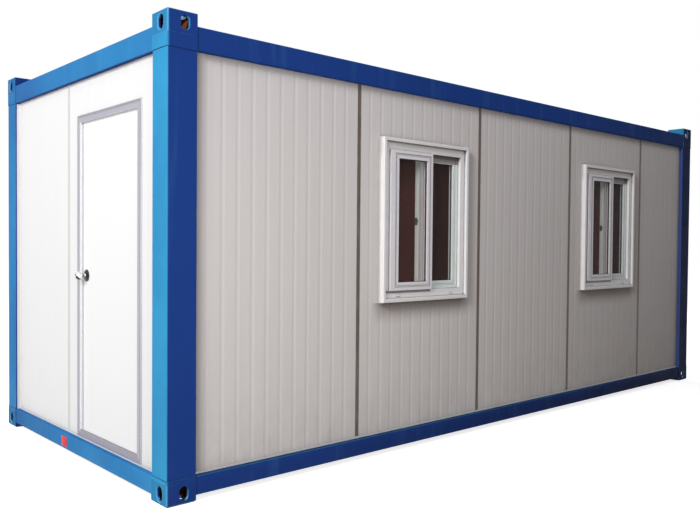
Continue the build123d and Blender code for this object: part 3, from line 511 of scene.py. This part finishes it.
# painted reflection: chrome given a dark colour, as if reflecting dark surroundings
PAINTED_DARK_CHROME = bare_metal("painted_dark_chrome", (0.03, 0.027, 0.03), 0.3, 0.9)
KNOB_METAL = polished("knob_metal", (0.86, 0.85, 0.84), (0.03, 0.026, 0.03), (-0.62, 0.4, -0.68))
ZINC = galvanised("galvanised_zinc")
VINYL = vinyl("floor_vinyl")
PVC = plastic("window_profile_pvc", (0.89, 0.875, 0.89), mitred=True)
SASH_PVC = plastic("sash_profile_pvc", (0.87, 0.85, 0.9))
INNER_PVC = plastic("inner_sash_pvc", (0.82, 0.89, 0.87), rail_shade=True)
SEAM = plain("shadow_seam", (0.1, 0.1, 0.11))
SEAM_BLUE = plain("seam_paint", (0.012, 0.036, 0.125))
SEALANT = plain("joint_sealant", (0.62, 0.6, 0.58), 0.45)
SKIRTING = plain("skirting_pvc", (0.56, 0.55, 0.53), 0.45)
GLASS = window_glass("pane_glass")
RUBBER = plain("black_rubber", (0.03, 0.03, 0.032), 0.7)
PALE_RUBBER = plain("pale_gasket", (0.66, 0.66, 0.67))
LATCH = plain("latch_green", (0.02, 0.14, 0.1), 0.4)
RED = plain("red_plate_paint", (0.76, 0.014, 0.022), 0.4, grain=22)


# ---- finishes of the carried-over nodes
SLOT_FINISHES = {
    "frame_blue": BLUE, "galvanised_steel": ZINC, "roof_steel": ROOF, "panel_white": WALL,
    "floor_covering": VINYL, "joint_aluminium": STRIP, "door_frame_grey": DOOR_FRAME,
    "door_white": DOOR_SKIN, "hardware_steel": STAINLESS, "window_pvc": PVC, "window_glass": GLASS,
    "latch_green": LATCH,
}
NODE_FINISHES = {
    "top_corner_blocks": BLOCK_BLUE, "bottom_corner_blocks": BLOCK_BLUE, "wall_foot_tracks": TRACK,
    "window_1_outer_sash": SASH_PVC, "window_2_outer_sash": SASH_PVC,
    "window_1_inner_sash": INNER_PVC, "window_2_inner_sash": INNER_PVC,
}
for part in frame["record"]["subparts"]:
    mesh = frame["nodes"][part["node"]].data
    mesh.materials.clear()
    mesh.materials.append(NODE_FINISHES.get(part["node"], SLOT_FINISHES[part["material_slot"]]))


# ---- mesh helpers
def front(along, up, out):
    """A place on the window wall: out is measured outwards from the steel's face."""
    return Vector((along, FRONT_FACE - out, up))


def door_end(across, up, out):
    """A place on the door end: out is measured outwards from the steel's face."""
    return Vector((END_FACE - out, across, up))


def level(along, across, up):
    return Vector((along, across, up))


def new_object(name, data):
    thing = bpy.data.objects.new(name, data)
    bpy.context.collection.objects.link(thing)
    return thing


def new_piece(name, mesh, material, body="cabin"):
    """Turn a bmesh into a piece that rides on a body and has the given material."""
    bmesh.ops.remove_doubles(mesh, verts=mesh.verts, dist=1e-6)
    bmesh.ops.recalc_face_normals(mesh, faces=mesh.faces)
    data = bpy.data.meshes.new(name)
    mesh.to_mesh(data)
    mesh.free()
    data.shade_smooth()
    data.set_sharp_from_angle(angle=math.radians(40))
    data.materials.append(material)
    piece = new_object(name, data)
    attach(piece, body)
    return piece


def add_box(mesh, place, low, high, bevel=0.0):
    """A box between two corners of a wall's own coordinates, with rounded edges."""
    turns = ((0, 0, 0), (1, 0, 0), (1, 1, 0), (0, 1, 0), (0, 0, 1), (1, 0, 1), (1, 1, 1), (0, 1, 1))
    verts = [mesh.verts.new(place(*[(low, high)[turn[axis]][axis] for axis in range(3)])) for turn in turns]
    sides = ((0, 1, 2, 3), (4, 5, 6, 7), (0, 1, 5, 4), (1, 2, 6, 5), (2, 3, 7, 6), (3, 0, 4, 7))
    faces = [mesh.faces.new([verts[number] for number in side]) for side in sides]
    if bevel:
        edges = list({edge for face in faces for edge in face.edges})
        bmesh.ops.recalc_face_normals(mesh, faces=faces)
        bmesh.ops.bevel(mesh, geom=edges, offset=bevel, segments=2, profile=0.5, affect="EDGES")


def add_block(mesh, centre, half, bevel=0.0):
    """A box round its centre, along the three axes."""
    low, high = Vector(centre) - Vector(half), Vector(centre) + Vector(half)
    add_box(mesh, level, low, high, bevel)


def bridge(mesh, here, there):
    """Faces between two closed rows of points."""
    for number in range(len(here)):
        after = (number + 1) % len(here)
        mesh.faces.new((here[number], here[after], there[after], there[number]))


def add_ring(mesh, place, rect, profile):
    """A mitred ring round a rectangle; the profile's points are (outwards from it, out of the wall)."""
    left, bottom, right, top = rect
    corners = ((left, bottom, -1, -1), (right, bottom, 1, -1), (right, top, 1, 1), (left, top, -1, 1))
    loops = []
    for along, up, way_x, way_z in corners:
        points = [place(along + way_x * spread, up + way_z * spread, out) for spread, out in profile]
        loops.append([mesh.verts.new(point) for point in points])
    for here, there in zip(loops, loops[1:] + loops[:1]):
        bridge(mesh, here, there)


def add_prism(mesh, outline, way):
    """A prism: an outline of places in space, moved along a vector."""
    near = [mesh.verts.new(point) for point in outline]
    far = [mesh.verts.new(point + way) for point in outline]
    mesh.faces.new(near)
    mesh.faces.new(far)
    bridge(mesh, near, far)


def ring_piece(name, place, rect, profile, material):
    mesh = bmesh.new()
    add_ring(mesh, place, rect, profile)
    new_piece(name, mesh, material)


def add_turned(mesh, centre, axis, profile, steps):
    """Turn a profile of (radius, distance along the axis) points about an axis."""
    axis = Vector(axis).normalized()
    side = axis.orthogonal().normalized()
    other = axis.cross(side)
    turns = [math.tau * step / steps for step in range(steps)]
    ways = [math.cos(turn) * side + math.sin(turn) * other for turn in turns]
    rings = []
    for radius, along in profile:
        centre_here = Vector(centre) + axis * along
        if radius == 0:
            rings.append([mesh.verts.new(centre_here)])
            continue
        rings.append([mesh.verts.new(centre_here + radius * way) for way in ways])
    for here, there in zip(rings, rings[1:]):
        for step in range(steps):
            after = (step + 1) % steps
            corners = [here[step % len(here)], here[after % len(here)]]
            corners += [there[after % len(there)], there[step % len(there)]]
            corners = list(dict.fromkeys(corners))
            if len(corners) > 2:
                mesh.faces.new(corners)


def add_screw(mesh, centre, axis, radius, height):
    """A low domed head with a hollow in its middle."""
    profile = [(0, height * 0.35), (radius * 0.38, height * 0.35), (radius * 0.45, height)]
    profile += [(radius * 0.78, height * 0.82), (radius, height * 0.25), (radius, -height * 0.3)]
    add_turned(mesh, centre, axis, profile + [(0, -height * 0.3)], steps=14)


def add_hex_screw(mesh, centre, size):
    """An upright roofing screw: washer, collar and hexagon head."""
    washer = [(0, 0.0016), (size * 0.95, 0.0014), (size * 1.05, 0.0), (0, 0.0)]
    add_turned(mesh, centre, (0, 0, 1), washer, steps=16)
    head = [(0, 0.0062), (size * 0.5, 0.0062), (size * 0.56, 0.0055), (size * 0.56, 0.0012), (0, 0.0012)]
    add_turned(mesh, centre, (0, 0, 1), head, steps=6)


# ---- window fittings
RAIL = 0.054  # the sashes' profile between their edge and the pane
PULL_STILE = 0.076  # the outer sash's wider stile, with the finger pull on it
TRACK_STEP = 0.04  # the inner sash runs this much deeper than the outer one
SASH_OUT, PANE_OUT = 0.004, -0.013
PANE_HALF = 0.0025
SURROUND_BEAD = ((0.0, -0.032), (0.0055, -0.032), (0.0048, -0.0292), (0.0026, -0.0262), (0.0, -0.0248))
PULL_LIP = ((0.0, 0.0042), (0.003, 0.0062), (0.0046, 0.005), (0.005, 0.0035), (0.0, 0.0035))
LEVER_HUB = ((0, 0.0), (0.0062, 0.0), (0.0062, 0.005), (0.004, 0.0062), (0, 0.0062))


def add_weld_line(mesh, start, way, near, far, out):
    """A thin welded mitre on one step of a sash's profile."""
    first, last = start + way * near, start + way * far
    side = Vector((way.y, -way.x)) * 0.00035
    outline = [first + side, last + side, last - side, first - side]
    add_prism(mesh, [front(point.x, point.y, out - 0.0002) for point in outline], Vector((0, -0.0004, 0)))


for number, surround in enumerate(SURROUNDS, start=1):
    name, centre = f"window_{number}", WINDOW_CENTRES[number - 1]
    outer_sash = wall_rect(name + "_outer_sash", 0)
    inner_sash = wall_rect(name + "_inner_sash", 0)
    outer_pane = inset(outer_sash, PULL_STILE, RAIL)
    inner_pane = inset(inner_sash, RAIL, RAIL)

    seals = bmesh.new()
    for pane, depth in ((outer_pane, 0.0), (inner_pane, TRACK_STEP)):
        for turn in (1, -1):
            face = PANE_OUT - depth + turn * PANE_HALF
            tips = ((-0.003, 0.0), (-0.0022, 0.0028), (0.0, 0.0042))
            wedge = [(0.0, face)] + [(spread, face + turn * out) for spread, out in tips]
            add_ring(seals, front, pane, wedge)
    new_piece(name + "_glazing_seals", seals, RUBBER)

    welds = bmesh.new()
    for pane, land in ((outer_pane, SASH_OUT), (inner_pane, SASH_OUT - TRACK_STEP)):
        for u, v in ((0, 1), (2, 1), (2, 3), (0, 3)):
            start, way = Vector((pane[u], pane[v])), Vector((u - 1, v - 2))
            for near, far, out in ((0.0, 0.02, land), (0.02, 0.034, land - 0.005), (0.034, 0.0535, land)):
                add_weld_line(welds, start, way, near, far, out)
    new_piece(name + "_sash_weld_lines", welds, SKIRTING)

    brush = bmesh.new()
    for near, far in ((0.042, 0.0475), (-0.0475, -0.042)):
        low = (centre + near, SASH_BOTTOM + 0.004, -0.0355)
        add_box(brush, front, low, (centre + far, SASH_TOP - 0.004, -0.0305), 0.0008)
    new_piece(name + "_brush_seals", brush, PALE_RUBBER)

    ring_piece(name + "_sealant_bead", front, surround, SURROUND_BEAD, SEALANT)

    caps, slots = bmesh.new(), bmesh.new()
    for shift in (-0.27, 0.27):
        for mesh, half, low, high, out, bevel in (
            (caps, 0.021, 1.037, 1.048, -0.0072, 0.0012),
            (caps, 0.017, 1.048, 1.0505, -0.0085, 0.0006),
            (slots, 0.017, 1.0355, 1.0372, -0.008, 0.0),
        ):
            left, right = centre + shift - half, centre + shift + half
            add_box(mesh, front, (left, low, -0.0102), (right, high, out), bevel)
    new_piece(name + "_drain_caps", caps, SASH_PVC)
    new_piece(name + "_drain_slots", slots, SEAM)

    lever = bmesh.new()
    stile, lever_y = inner_sash[0], FRONT_FACE + 0.053
    add_block(lever, (stile - 0.01125, lever_y, WINDOW_MIDDLE_Z), (0.00125, 0.006, 0.0245), 0.001)
    add_turned(lever, (stile - 0.01, lever_y, WINDOW_MIDDLE_Z), (-1, 0, 0), LEVER_HUB, 20)
    for shift in (-0.0185, 0.0185):
        add_screw(lever, (stile - 0.0035, lever_y, WINDOW_MIDDLE_Z + shift), (-1, 0, 0), 0.0034, 0.0012)
    new_piece(name + "_latch_lever", lever, LATCH)

    pull_x = outer_pane[0] - 0.056
    pull_rect = (pull_x - 0.008, WINDOW_MIDDLE_Z - 0.0425, pull_x + 0.008, WINDOW_MIDDLE_Z + 0.0425)
    ring_piece(name + "_finger_pull", front, pull_rect, PULL_LIP, SASH_PVC)

# ---- door knob set
LEAF_MIDDLE = halfway(*LEAF_FACES)
KNOB_CENTRE = (LEAF_MIDDLE, KNOB_Y, KNOB_Z)
BALL_RADIUS = 0.026
BALL_OUT = 0.068  # from the leaf's middle to the ball's
BALL_START, BALL_END = -62.0, 69.7
NECK = [(0, 0.0), (0.0098, 0.0), (0.0098, 0.0305), (0.0116, 0.0325), (0.0116, 0.0345), (0.0096, 0.037),
        (0.01, 0.043)]
ROSE = [(0.0104, 0.0202), (0.038, 0.0202), (0.038, 0.0222), (0.0372, 0.0236), (0.0352, 0.0243),
        (0.0344, 0.0238), (0.0334, 0.0244), (0.029, 0.0256), (0.023, 0.0272), (0.018, 0.0284),
        (0.015, 0.0289), (0.0112, 0.0289), (0.0104, 0.0284), (0.0104, 0.0202)]
INNER_RING = [(0.0106, 0.0285), (0.0185, 0.0281), (0.019, 0.0288), (0.018, 0.03), (0.015, 0.0309),
              (0.0118, 0.0312), (0.0106, 0.0306), (0.0106, 0.0285)]
OUTER_RING = [(0.0345, 0.0236), (0.0349, 0.0246), (0.0362, 0.0244), (0.0374, 0.0234), (0.0381, 0.022),
              (0.0381, 0.0206), (0.0374, 0.0206), (0.0345, 0.023), (0.0345, 0.0236)]
BOTH_WAYS = ((-1, 0, 0), (1, 0, 0))


def ball_profile(first, last, steps, proud=0.0):
    """Points of the ball, from one angle to another above its equator, in degrees."""
    turns = [math.radians(first + (last - first) * step / steps) for step in range(steps + 1)]
    points = [(BALL_RADIUS * math.cos(turn), BALL_RADIUS * math.sin(turn)) for turn in turns]
    return [(across + proud, BALL_OUT + along) for across, along in points]


knob = bmesh.new()
ball = ball_profile(BALL_START, BALL_END, 22)
flat_out = ball[-1][1]
hollow = [(0.008, flat_out - 0.0001), (0.0074, flat_out - 0.001), (0.0062, flat_out - 0.0012)]
hollow += [(0.0062, flat_out - 0.003), (0, flat_out - 0.003)]
for way in BOTH_WAYS:
    add_turned(knob, KNOB_CENTRE, way, NECK + ball + hollow, 48)
knob = new_piece("door_knob_set", knob, KNOB_METAL, "knob")
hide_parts("door_knob")

key_core = bmesh.new()
face_out = flat_out - 0.0016
core = [(0, face_out), (0.0052, face_out), (0.0058, face_out - 0.0006), (0.0058, face_out - 0.003)]
core += [(0, face_out - 0.003)]
for way in BOTH_WAYS:
    add_turned(key_core, KNOB_CENTRE, way, core, 28)
key_slot = (LEAF_MIDDLE - face_out + 0.0004, KNOB_Y, KNOB_Z)
add_block(key_core, key_slot, (0.0006, 0.0006, 0.0035))
turn_piece = (LEAF_MIDDLE + face_out + 0.0001, KNOB_Y, KNOB_Z)
add_block(key_core, turn_piece, (0.0011, 0.0012, 0.004), 0.0004)
new_piece("door_knob_cylinder", key_core, PAINTED_DARK_CHROME, "knob")

band = bmesh.new()
ring = ball_profile(-34.0, 4.0, 10, 0.00025)
inner_ring = ball_profile(4.0, -34.0, 10, -0.0012)
for way in BOTH_WAYS:
    add_turned(band, KNOB_CENTRE, way, ring + inner_ring + ring[:1], 48)
new_piece("door_knob_grip_band", band, KNOB_METAL, "knob")

roses, rings = bmesh.new(), bmesh.new()
for way in BOTH_WAYS:
    add_turned(roses, KNOB_CENTRE, way, ROSE, 56)
    add_turned(rings, KNOB_CENTRE, way, INNER_RING, 48)
    add_turned(rings, KNOB_CENTRE, way, OUTER_RING, 56)
roses = new_piece("door_rose_plates", roses, PAINTED_DARK_CHROME, "door")
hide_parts("door_roses")
new_piece("door_rose_rings", rings, PAINTED_DARK_CHROME, "door")

# ---- door frame and leaf fittings
side_left, _, side_right, frame_head = DOOR_FRAME_RECT
stop_rect = inset(LEAF_RECT, 0.011, 0.011)
above_track = (side_left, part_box("wall_foot_tracks")[1].z, side_right, frame_head)

lip = ((0.0005, -0.038), (0.0085, -0.038), (0.0085, -0.0402), (0.006, -0.0424), (0.003, -0.0424),
       (0.0005, -0.0404))
ring_piece("door_frame_gasket", door_end, stop_rect, lip, PALE_RUBBER)
moulding = ((-0.011, -0.0252), (-0.011, -0.0232), (-0.0094, -0.022), (-0.0016, -0.022), (0.0, -0.0232),
            (0.0, -0.0252))
ring_piece("door_frame_edge_moulding", door_end, above_track, moulding, DOOR_FRAME)

caps = bmesh.new()
dome = ((0, 0.0012), (0.004, 0.0011), (0.0056, 0.0004), (0.0058, -0.001), (0, -0.001))
for height in (0.36, 0.95, 1.55, 2.02):
    for across in (side_left + JAMB_WIDTH, side_right - JAMB_WIDTH):
        add_turned(caps, door_end(across, height, DOOR_FRAME_OUT), (-1, 0, 0), dome, 20)
new_piece("door_frame_screw_caps", caps, DOOR_FRAME)

bead = ((0.0, -0.0305), (0.005, -0.0305), (0.004, -0.0282), (0.0, -0.0262))
ring_piece("door_frame_sealant_bead", door_end, above_track, bead, SEALANT)

hinge_low, hinge_high = (corner.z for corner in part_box("door_hinge_frame_halves"))
lowest, highest = hinge_low + HINGE_LENGTH / 2, hinge_high - HINGE_LENGTH / 2
hinge_heights = (lowest, halfway(lowest, highest), highest)
plate_face = LEAF_FACES[1] + HINGE_PLATE
for half, side, body in (("frame", -0.02, "cabin"), ("leaf", 0.02, "door")):
    screws = bmesh.new()
    for height in hinge_heights:
        for shift in (-0.036, 0.0, 0.036):
            add_screw(screws, (plate_face, HINGE_Y + side, height + shift), (1, 0, 0), 0.0036, 0.001)
    new_piece(f"hinge_{half}_screws", screws, STAINLESS, body)

tips = bmesh.new()
acorn = ((0.007, 0.0), (0.007, 0.0012), (0.0055, 0.003), (0.0028, 0.0046), (0, 0.005))
for height in hinge_heights:
    for way in (-1, 1):
        pin_end = (HINGE_X, HINGE_Y, height + way * HINGE_LENGTH / 2)
        add_turned(tips, pin_end, (0, 0, way), acorn, 24)
new_piece("hinge_pin_tips", tips, STAINLESS)

leaf_edge = LEAF_RECT[2]
jamb_face = side_right - JAMB_WIDTH
strike = bmesh.new()
add_block(strike, (LEAF_MIDDLE, jamb_face - 0.00055, KNOB_Z), (0.012, 0.00045, 0.073), 0.0004)
for shift in (-0.06, 0.06):
    add_screw(strike, (LEAF_MIDDLE, jamb_face - 0.001, KNOB_Z + shift), (0, -1, 0), 0.0036, 0.0008)
new_piece("door_strike_plate", strike, STAINLESS)

latch = bmesh.new()
add_block(latch, (LEAF_MIDDLE, leaf_edge + 0.00035, KNOB_Z), (0.012, 0.00035, 0.03), 0.0003)
add_block(latch, (LEAF_MIDDLE, leaf_edge + 0.0015, KNOB_Z), (0.006, 0.0015, 0.01), 0.0012)
for shift in (-0.022, 0.022):
    add_screw(latch, (LEAF_MIDDLE, leaf_edge + 0.0007, KNOB_Z + shift), (0, 1, 0), 0.0032, 0.0006)
new_piece("door_latch_face", latch, STAINLESS, "door")

edging = bmesh.new()
for face_x in LEAF_FACES:
    near, far = END_FACE - face_x - 0.0002, END_FACE - face_x + 0.0002
    add_ring(edging, door_end, LEAF_RECT, ((-0.018, near), (-0.018, far), (-0.0172, far), (-0.0172, near)))
new_piece("door_skin_fold_lines", edging, SKIRTING, "door")

# ---- steel frame: seams, trims, welds, bolts
CORNERS = ((-1, -1), (-1, 1), (1, -1), (1, 1))


def corner_path(way_x, way_y, proud, radius):
    """Plan points round a corner's outside, from its long side to its end face."""
    face_x, face_y = -END_FACE + proud, -FRONT_FACE + proud
    points = [(-END_FACE - BLOCK_ALONG + 0.008, face_y)]
    for turn in (math.radians(90 - 15 * step) for step in range(7)):
        points.append((face_x - radius * (1 - math.cos(turn)), face_y - radius * (1 - math.sin(turn))))
    points.append((face_x, -FRONT_FACE - BLOCK_ACROSS + 0.008))
    return [(way_x * x, way_y * y) for x, y in points]


def add_corner_band(mesh, way_x, way_y, inside, outside, bottom, top, radius):
    """A thin band round the outside of a corner post."""
    rows = []
    for proud, height in ((inside, bottom), (outside, bottom), (outside, top), (inside, top)):
        path = corner_path(way_x, way_y, proud, radius + proud)
        rows.append([mesh.verts.new((x, y, height)) for x, y in path])
    for here, there in zip(rows, rows[1:] + rows[:1]):
        for number in range(len(here) - 1):
            mesh.faces.new((here[number], here[number + 1], there[number + 1], there[number]))
    mesh.faces.new([row[0] for row in rows])
    mesh.faces.new([row[-1] for row in rows])


seams = bmesh.new()
for way_x, way_y in CORNERS:
    for height in (ROOF_BEAM[0] - 0.0014, FLOOR_BEAM[1] + 0.0012):
        add_corner_band(seams, way_x, way_y, -0.0005, 0.0004, height - 0.0012, height + 0.001, 0.006)
new_piece("post_bolting_seams", seams, SEAM_BLUE)

# white angles that cover the step between the end walls' panels and the posts
trims = bmesh.new()
trim, wing = 0.0015, 0.018
behind_trim = PANEL_DEPTH - trim
plan = ((0.009, 0), (0.009, trim), (behind_trim, trim), (behind_trim, wing), (PANEL_DEPTH, wing),
        (PANEL_DEPTH, 0))
trim_foot, trim_height = FLOOR_BEAM[1] + 0.0005, ROOF_BEAM[0] - FLOOR_BEAM[1] - 0.0045
for way_x, way_y in CORNERS:
    outline = [Vector((way_x * (-END_FACE - deep), way_y * (POST_INSIDE_Y - reach), trim_foot))
               for deep, reach in plan]
    add_prism(trims, outline, Vector((0, 0, trim_height)))
new_piece("end_wall_edge_trims", trims, DOOR_SKIN)


def add_weld_bead(mesh, x, y, first_way, last_way, low, high):
    """A rippled bead up an inner edge, whose two sides lie along two directions."""
    steps, swell = 26, 0.0034
    pitch = (high - low) / steps
    ways = [Vector((*way, 0)) * swell for way in (first_way, last_way)]
    for step in range(steps):
        height = low + pitch * (step + 0.5)
        place, up = Vector((x, y, height)), Vector((0, 0, pitch * 0.55))
        ripple = [place - up, place + ways[0], place + up, place + ways[1]]
        verts = [mesh.verts.new(point) for point in ripple]
        tip = mesh.verts.new(place + (ways[0] + ways[1]) * 0.62)
        for number in range(4):
            mesh.faces.new((verts[number], verts[(number + 1) % 4], tip))
        mesh.faces.new(verts)


welds = bmesh.new()
for way_x, way_y in CORNERS:
    for low, high in (ROOF_BEAM, FLOOR_BEAM):
        low, high = low + 0.004, high - 0.004
        side_x, side_y = way_x * POST_INSIDE_X, way_y * -FRONT_FACE
        add_weld_bead(welds, side_x, side_y, (-way_x, 0), (0, way_y), low, high)
        end_x, end_y = way_x * -END_FACE, way_y * POST_INSIDE_Y
        add_weld_bead(welds, end_x, end_y, (0, -way_y), (way_x, 0), low, high)
new_piece("beam_weld_beads", welds, BLUE)

PLATE_LOW, PLATE_HIGH, PLATE_THICK = (0.0995, 0.046), (0.1845, 0.112), 0.0014
plate, rivets = bmesh.new(), bmesh.new()
add_box(plate, door_end, (*PLATE_LOW, 0.0), (*PLATE_HIGH, PLATE_THICK), 0.0006)
new_piece("blank_red_plate", plate, RED)
for across in (PLATE_LOW[0] + 0.007, PLATE_HIGH[0] - 0.007):
    for height in (PLATE_LOW[1] + 0.007, PLATE_HIGH[1] - 0.007):
        add_screw(rivets, door_end(across, height, PLATE_THICK), (-1, 0, 0), 0.003, 0.0012)
new_piece("blank_plate_rivets", rivets, STAINLESS)

bolts = bmesh.new()
washer = ((0, 0.0), (0.017, 0.0), (0.017, 0.003), (0.012, 0.003), (0, 0.003))
bolt_head = ((0, 0.013), (0.01, 0.013), (0.0115, 0.0118), (0.0115, 0.003), (0, 0.003))
for way_x, way_y in CORNERS:
    for x, y in ((2.905, 1.155), (2.96, 1.155), (2.96, 1.105)):
        for height, way in ((ROOF_BEAM[0] - 0.0005, -1), (FLOOR_BEAM[1] + 0.0005, 1)):
            place = (way_x * x, way_y * y, height)
            add_turned(bolts, place, (0, 0, way), washer, 24)
            add_turned(bolts, place, (0, 0, way), bolt_head, 6)
new_piece("post_bolts", bolts, ZINC)

# ---- roof
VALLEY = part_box("roof_sheet")[0].z + 0.0005
RIB_PITCH, VALLEY_COUNT = 0.2, 28
SHEET_EDGE = 1.15

screws = bmesh.new()
for number in range(VALLEY_COUNT):
    along = RIB_PITCH * (number - (VALLEY_COUNT - 1) / 2)
    for across in (-1.128, -0.6, 0.0, 0.6, 1.128):
        add_hex_screw(screws, (along, across, VALLEY + 0.0006), 0.0075)
new_piece("roof_screws", screws, ZINC)

laps = bmesh.new()
for along in (-2.0, -1.0, 0.0, 1.0, 2.0):
    low = (along + 0.163, -SHEET_EDGE, VALLEY + 0.0001)
    add_box(laps, level, low, (along + 0.1655, SHEET_EDGE, VALLEY + 0.0017), 0.0005)
new_piece("roof_sheet_laps", laps, SKIRTING)

closures = bmesh.new()
for way in (-1, 1):
    low_y, high_y = sorted((way * (SHEET_EDGE - 0.001), way * (SHEET_EDGE + 0.0035)))
    add_box(closures, level, (-2.84, low_y, VALLEY + 0.0003), (2.84, high_y, VALLEY + 0.041), 0.0012)
new_piece("roof_edge_closures", closures, SEALANT)

# ---- inside lining
SKIRTING_THICK = 0.012
side_end, end_side = POST_INSIDE_X - 0.0005, POST_INSIDE_Y - 0.0005
side_inner, end_inner = INSIDE_Y - SKIRTING_THICK, INSIDE_X - SKIRTING_THICK
skirting = bmesh.new()
for low, high in (
    ((-side_end, -INSIDE_Y), (side_end, -side_inner)),
    ((-side_end, side_inner), (side_end, INSIDE_Y)),
    ((end_inner, -end_side), (INSIDE_X, end_side)),
    ((-INSIDE_X, 0.0), (-end_inner, end_side)),
    ((-INSIDE_X, -end_side), (-end_inner, side_left - 0.013)),
):
    add_box(skirting, level, (*low, 0.1405), (*high, 0.2), 0.003)
new_piece("skirting_boards", skirting, SKIRTING)

battens = bmesh.new()
for number in range(-4, 5):
    add_block(battens, (0.6 * number, 0.0, 2.40015), (0.011, 1.12, 0.00165), 0.001)
new_piece("ceiling_joint_battens", battens, SKIRTING)


# ---- floor, light and camera
def light_path_white(tree, for_light, for_view):
    """One shader for the light on the object, another for what the camera, mirrors and panes see."""
    path = tree.nodes.new("ShaderNodeLightPath")
    seen = path.outputs["Is Camera Ray"]
    for ray in ("Is Glossy Ray", "Is Transmission Ray"):
        either = tree.nodes.new("ShaderNodeMath")
        either.operation = "MAXIMUM"
        tree.links.new(seen, either.inputs[0])
        tree.links.new(path.outputs[ray], either.inputs[1])
        seen = either.outputs[0]
    mix = tree.nodes.new("ShaderNodeMixShader")
    for number, output in enumerate((seen, for_light, for_view)):
        tree.links.new(output, mix.inputs[number])
    return mix


def make_world(fill):
    world = bpy.data.worlds.new("studio")
    bpy.context.scene.world = world
    world.use_nodes = True
    tree = world.node_tree
    tree.nodes.clear()
    soft, white = (tree.nodes.new("ShaderNodeBackground") for _ in range(2))
    for background in (soft, white):
        background.inputs["Color"].default_value = (1, 1, 1, 1)
    soft.inputs["Strength"].default_value = fill
    mix = light_path_white(tree, soft.outputs[0], white.outputs[0])
    output = tree.nodes.new("ShaderNodeOutputWorld")
    tree.links.new(mix.outputs[0], output.inputs[0])


def make_floor(half_size):
    """A pale floor that fades to white and keeps the object's shadow."""
    mesh = bpy.data.meshes.new("studio_floor")
    corners = [(x * half_size, y * half_size, 0) for x, y in ((-1, -1), (1, -1), (1, 1), (-1, 1))]
    mesh.from_pydata(corners, [], [(0, 1, 2, 3)])
    s = Shade("studio_floor")
    matt = s.add("ShaderNodeBsdfDiffuse", Color=(0.8, 0.8, 0.8))
    ground = s.add("ShaderNodeBsdfDiffuse", Color=(0.26, 0.22, 0.19))
    away = s.add("ShaderNodeVectorMath", i0=s.geometry.outputs["Position"])
    away.operation = "LENGTH"
    glow = s.spread(away.outputs["Value"], 4.5, 9.0, 0.74, 1.0)
    glow = s.add("ShaderNodeEmission", Color=(1, 1, 1), Strength=glow)
    both = s.add("ShaderNodeAddShader", i0=matt.outputs[0], i1=glow.outputs[0])
    mesh.materials.append(s.finish(light_path_white(s.tree, ground.outputs[0], both.outputs[0])))
    new_object("studio_floor", mesh)


def area_lamp(name, place, target, width, height, power):
    light = bpy.data.lights.new(name, "AREA")
    light.shape = "RECTANGLE"
    light.size, light.size_y = width, height
    light.energy = power
    lamp = new_object(name, light)
    lamp.location = place
    lamp.visible_camera = False
    lamp.rotation_mode = "QUATERNION"
    lamp.rotation_quaternion = (Vector(target) - Vector(place)).to_track_quat("-Z", "Y")


# the photograph's viewing angle, with the heading from +Y towards +X
CAMERA_PLACE = (-4.9605, -4.7392, 1.3881)
CAMERA_HEADING, CAMERA_TILT, CAMERA_ROLL = (math.radians(angle) for angle in (41.415, -1.353, 0.46))
CAMERA_LENS, CAMERA_SHIFT = 39.13, (0.01775, -0.00473)


def make_camera():
    right = Vector((math.cos(CAMERA_HEADING), -math.sin(CAMERA_HEADING), 0))
    ahead = Vector((math.sin(CAMERA_HEADING), math.cos(CAMERA_HEADING), 0)) * math.cos(CAMERA_TILT)
    ahead.z = math.sin(CAMERA_TILT)
    up = right.cross(ahead)
    rolled_right = math.cos(CAMERA_ROLL) * right + math.sin(CAMERA_ROLL) * up
    rolled_up = math.cos(CAMERA_ROLL) * up - math.sin(CAMERA_ROLL) * right
    data = bpy.data.cameras.new("camera")
    data.lens = CAMERA_LENS
    data.sensor_width = 36.0
    data.shift_x, data.shift_y = CAMERA_SHIFT
    data.clip_end = 200.0
    camera = new_object("camera", data)
    turn = Matrix((rolled_right, rolled_up, -ahead)).transposed()
    camera.matrix_world = Matrix.Translation(CAMERA_PLACE) @ turn.to_4x4()
    bpy.context.scene.camera = camera


make_world(0.02)
make_floor(60.0)
area_lamp("key", (-10.0, -4.2, 6.3), (-1.5, -0.6, 1.2), 2.6, 2.6, 672.0)
area_lamp("end_fill", (-9.0, 2.0, 2.2), (-3.0, 0.0, 1.0), 3.0, 3.0, 232.0)
area_lamp("front_fill", (-3.4, -4.4, 1.5), (-1.2, -1.2, 1.3), 1.2, 1.2, 52.0)
area_lamp("front_top", (0.7, -2.8, 5.6), (0.7, -1.2, 1.5), 2.0, 1.0, 26.0)
area_lamp("back_fill", (7.5, 8.0, 5.0), (0.0, 0.5, 1.3), 5.0, 4.0, 700.0)
area_lamp("top_fill", (1.0, 0.6, 8.0), (0.0, 0.2, 2.5), 4.0, 3.0, 110.0)
make_camera()
bpy.context.scene.view_settings.view_transform = "Standard"
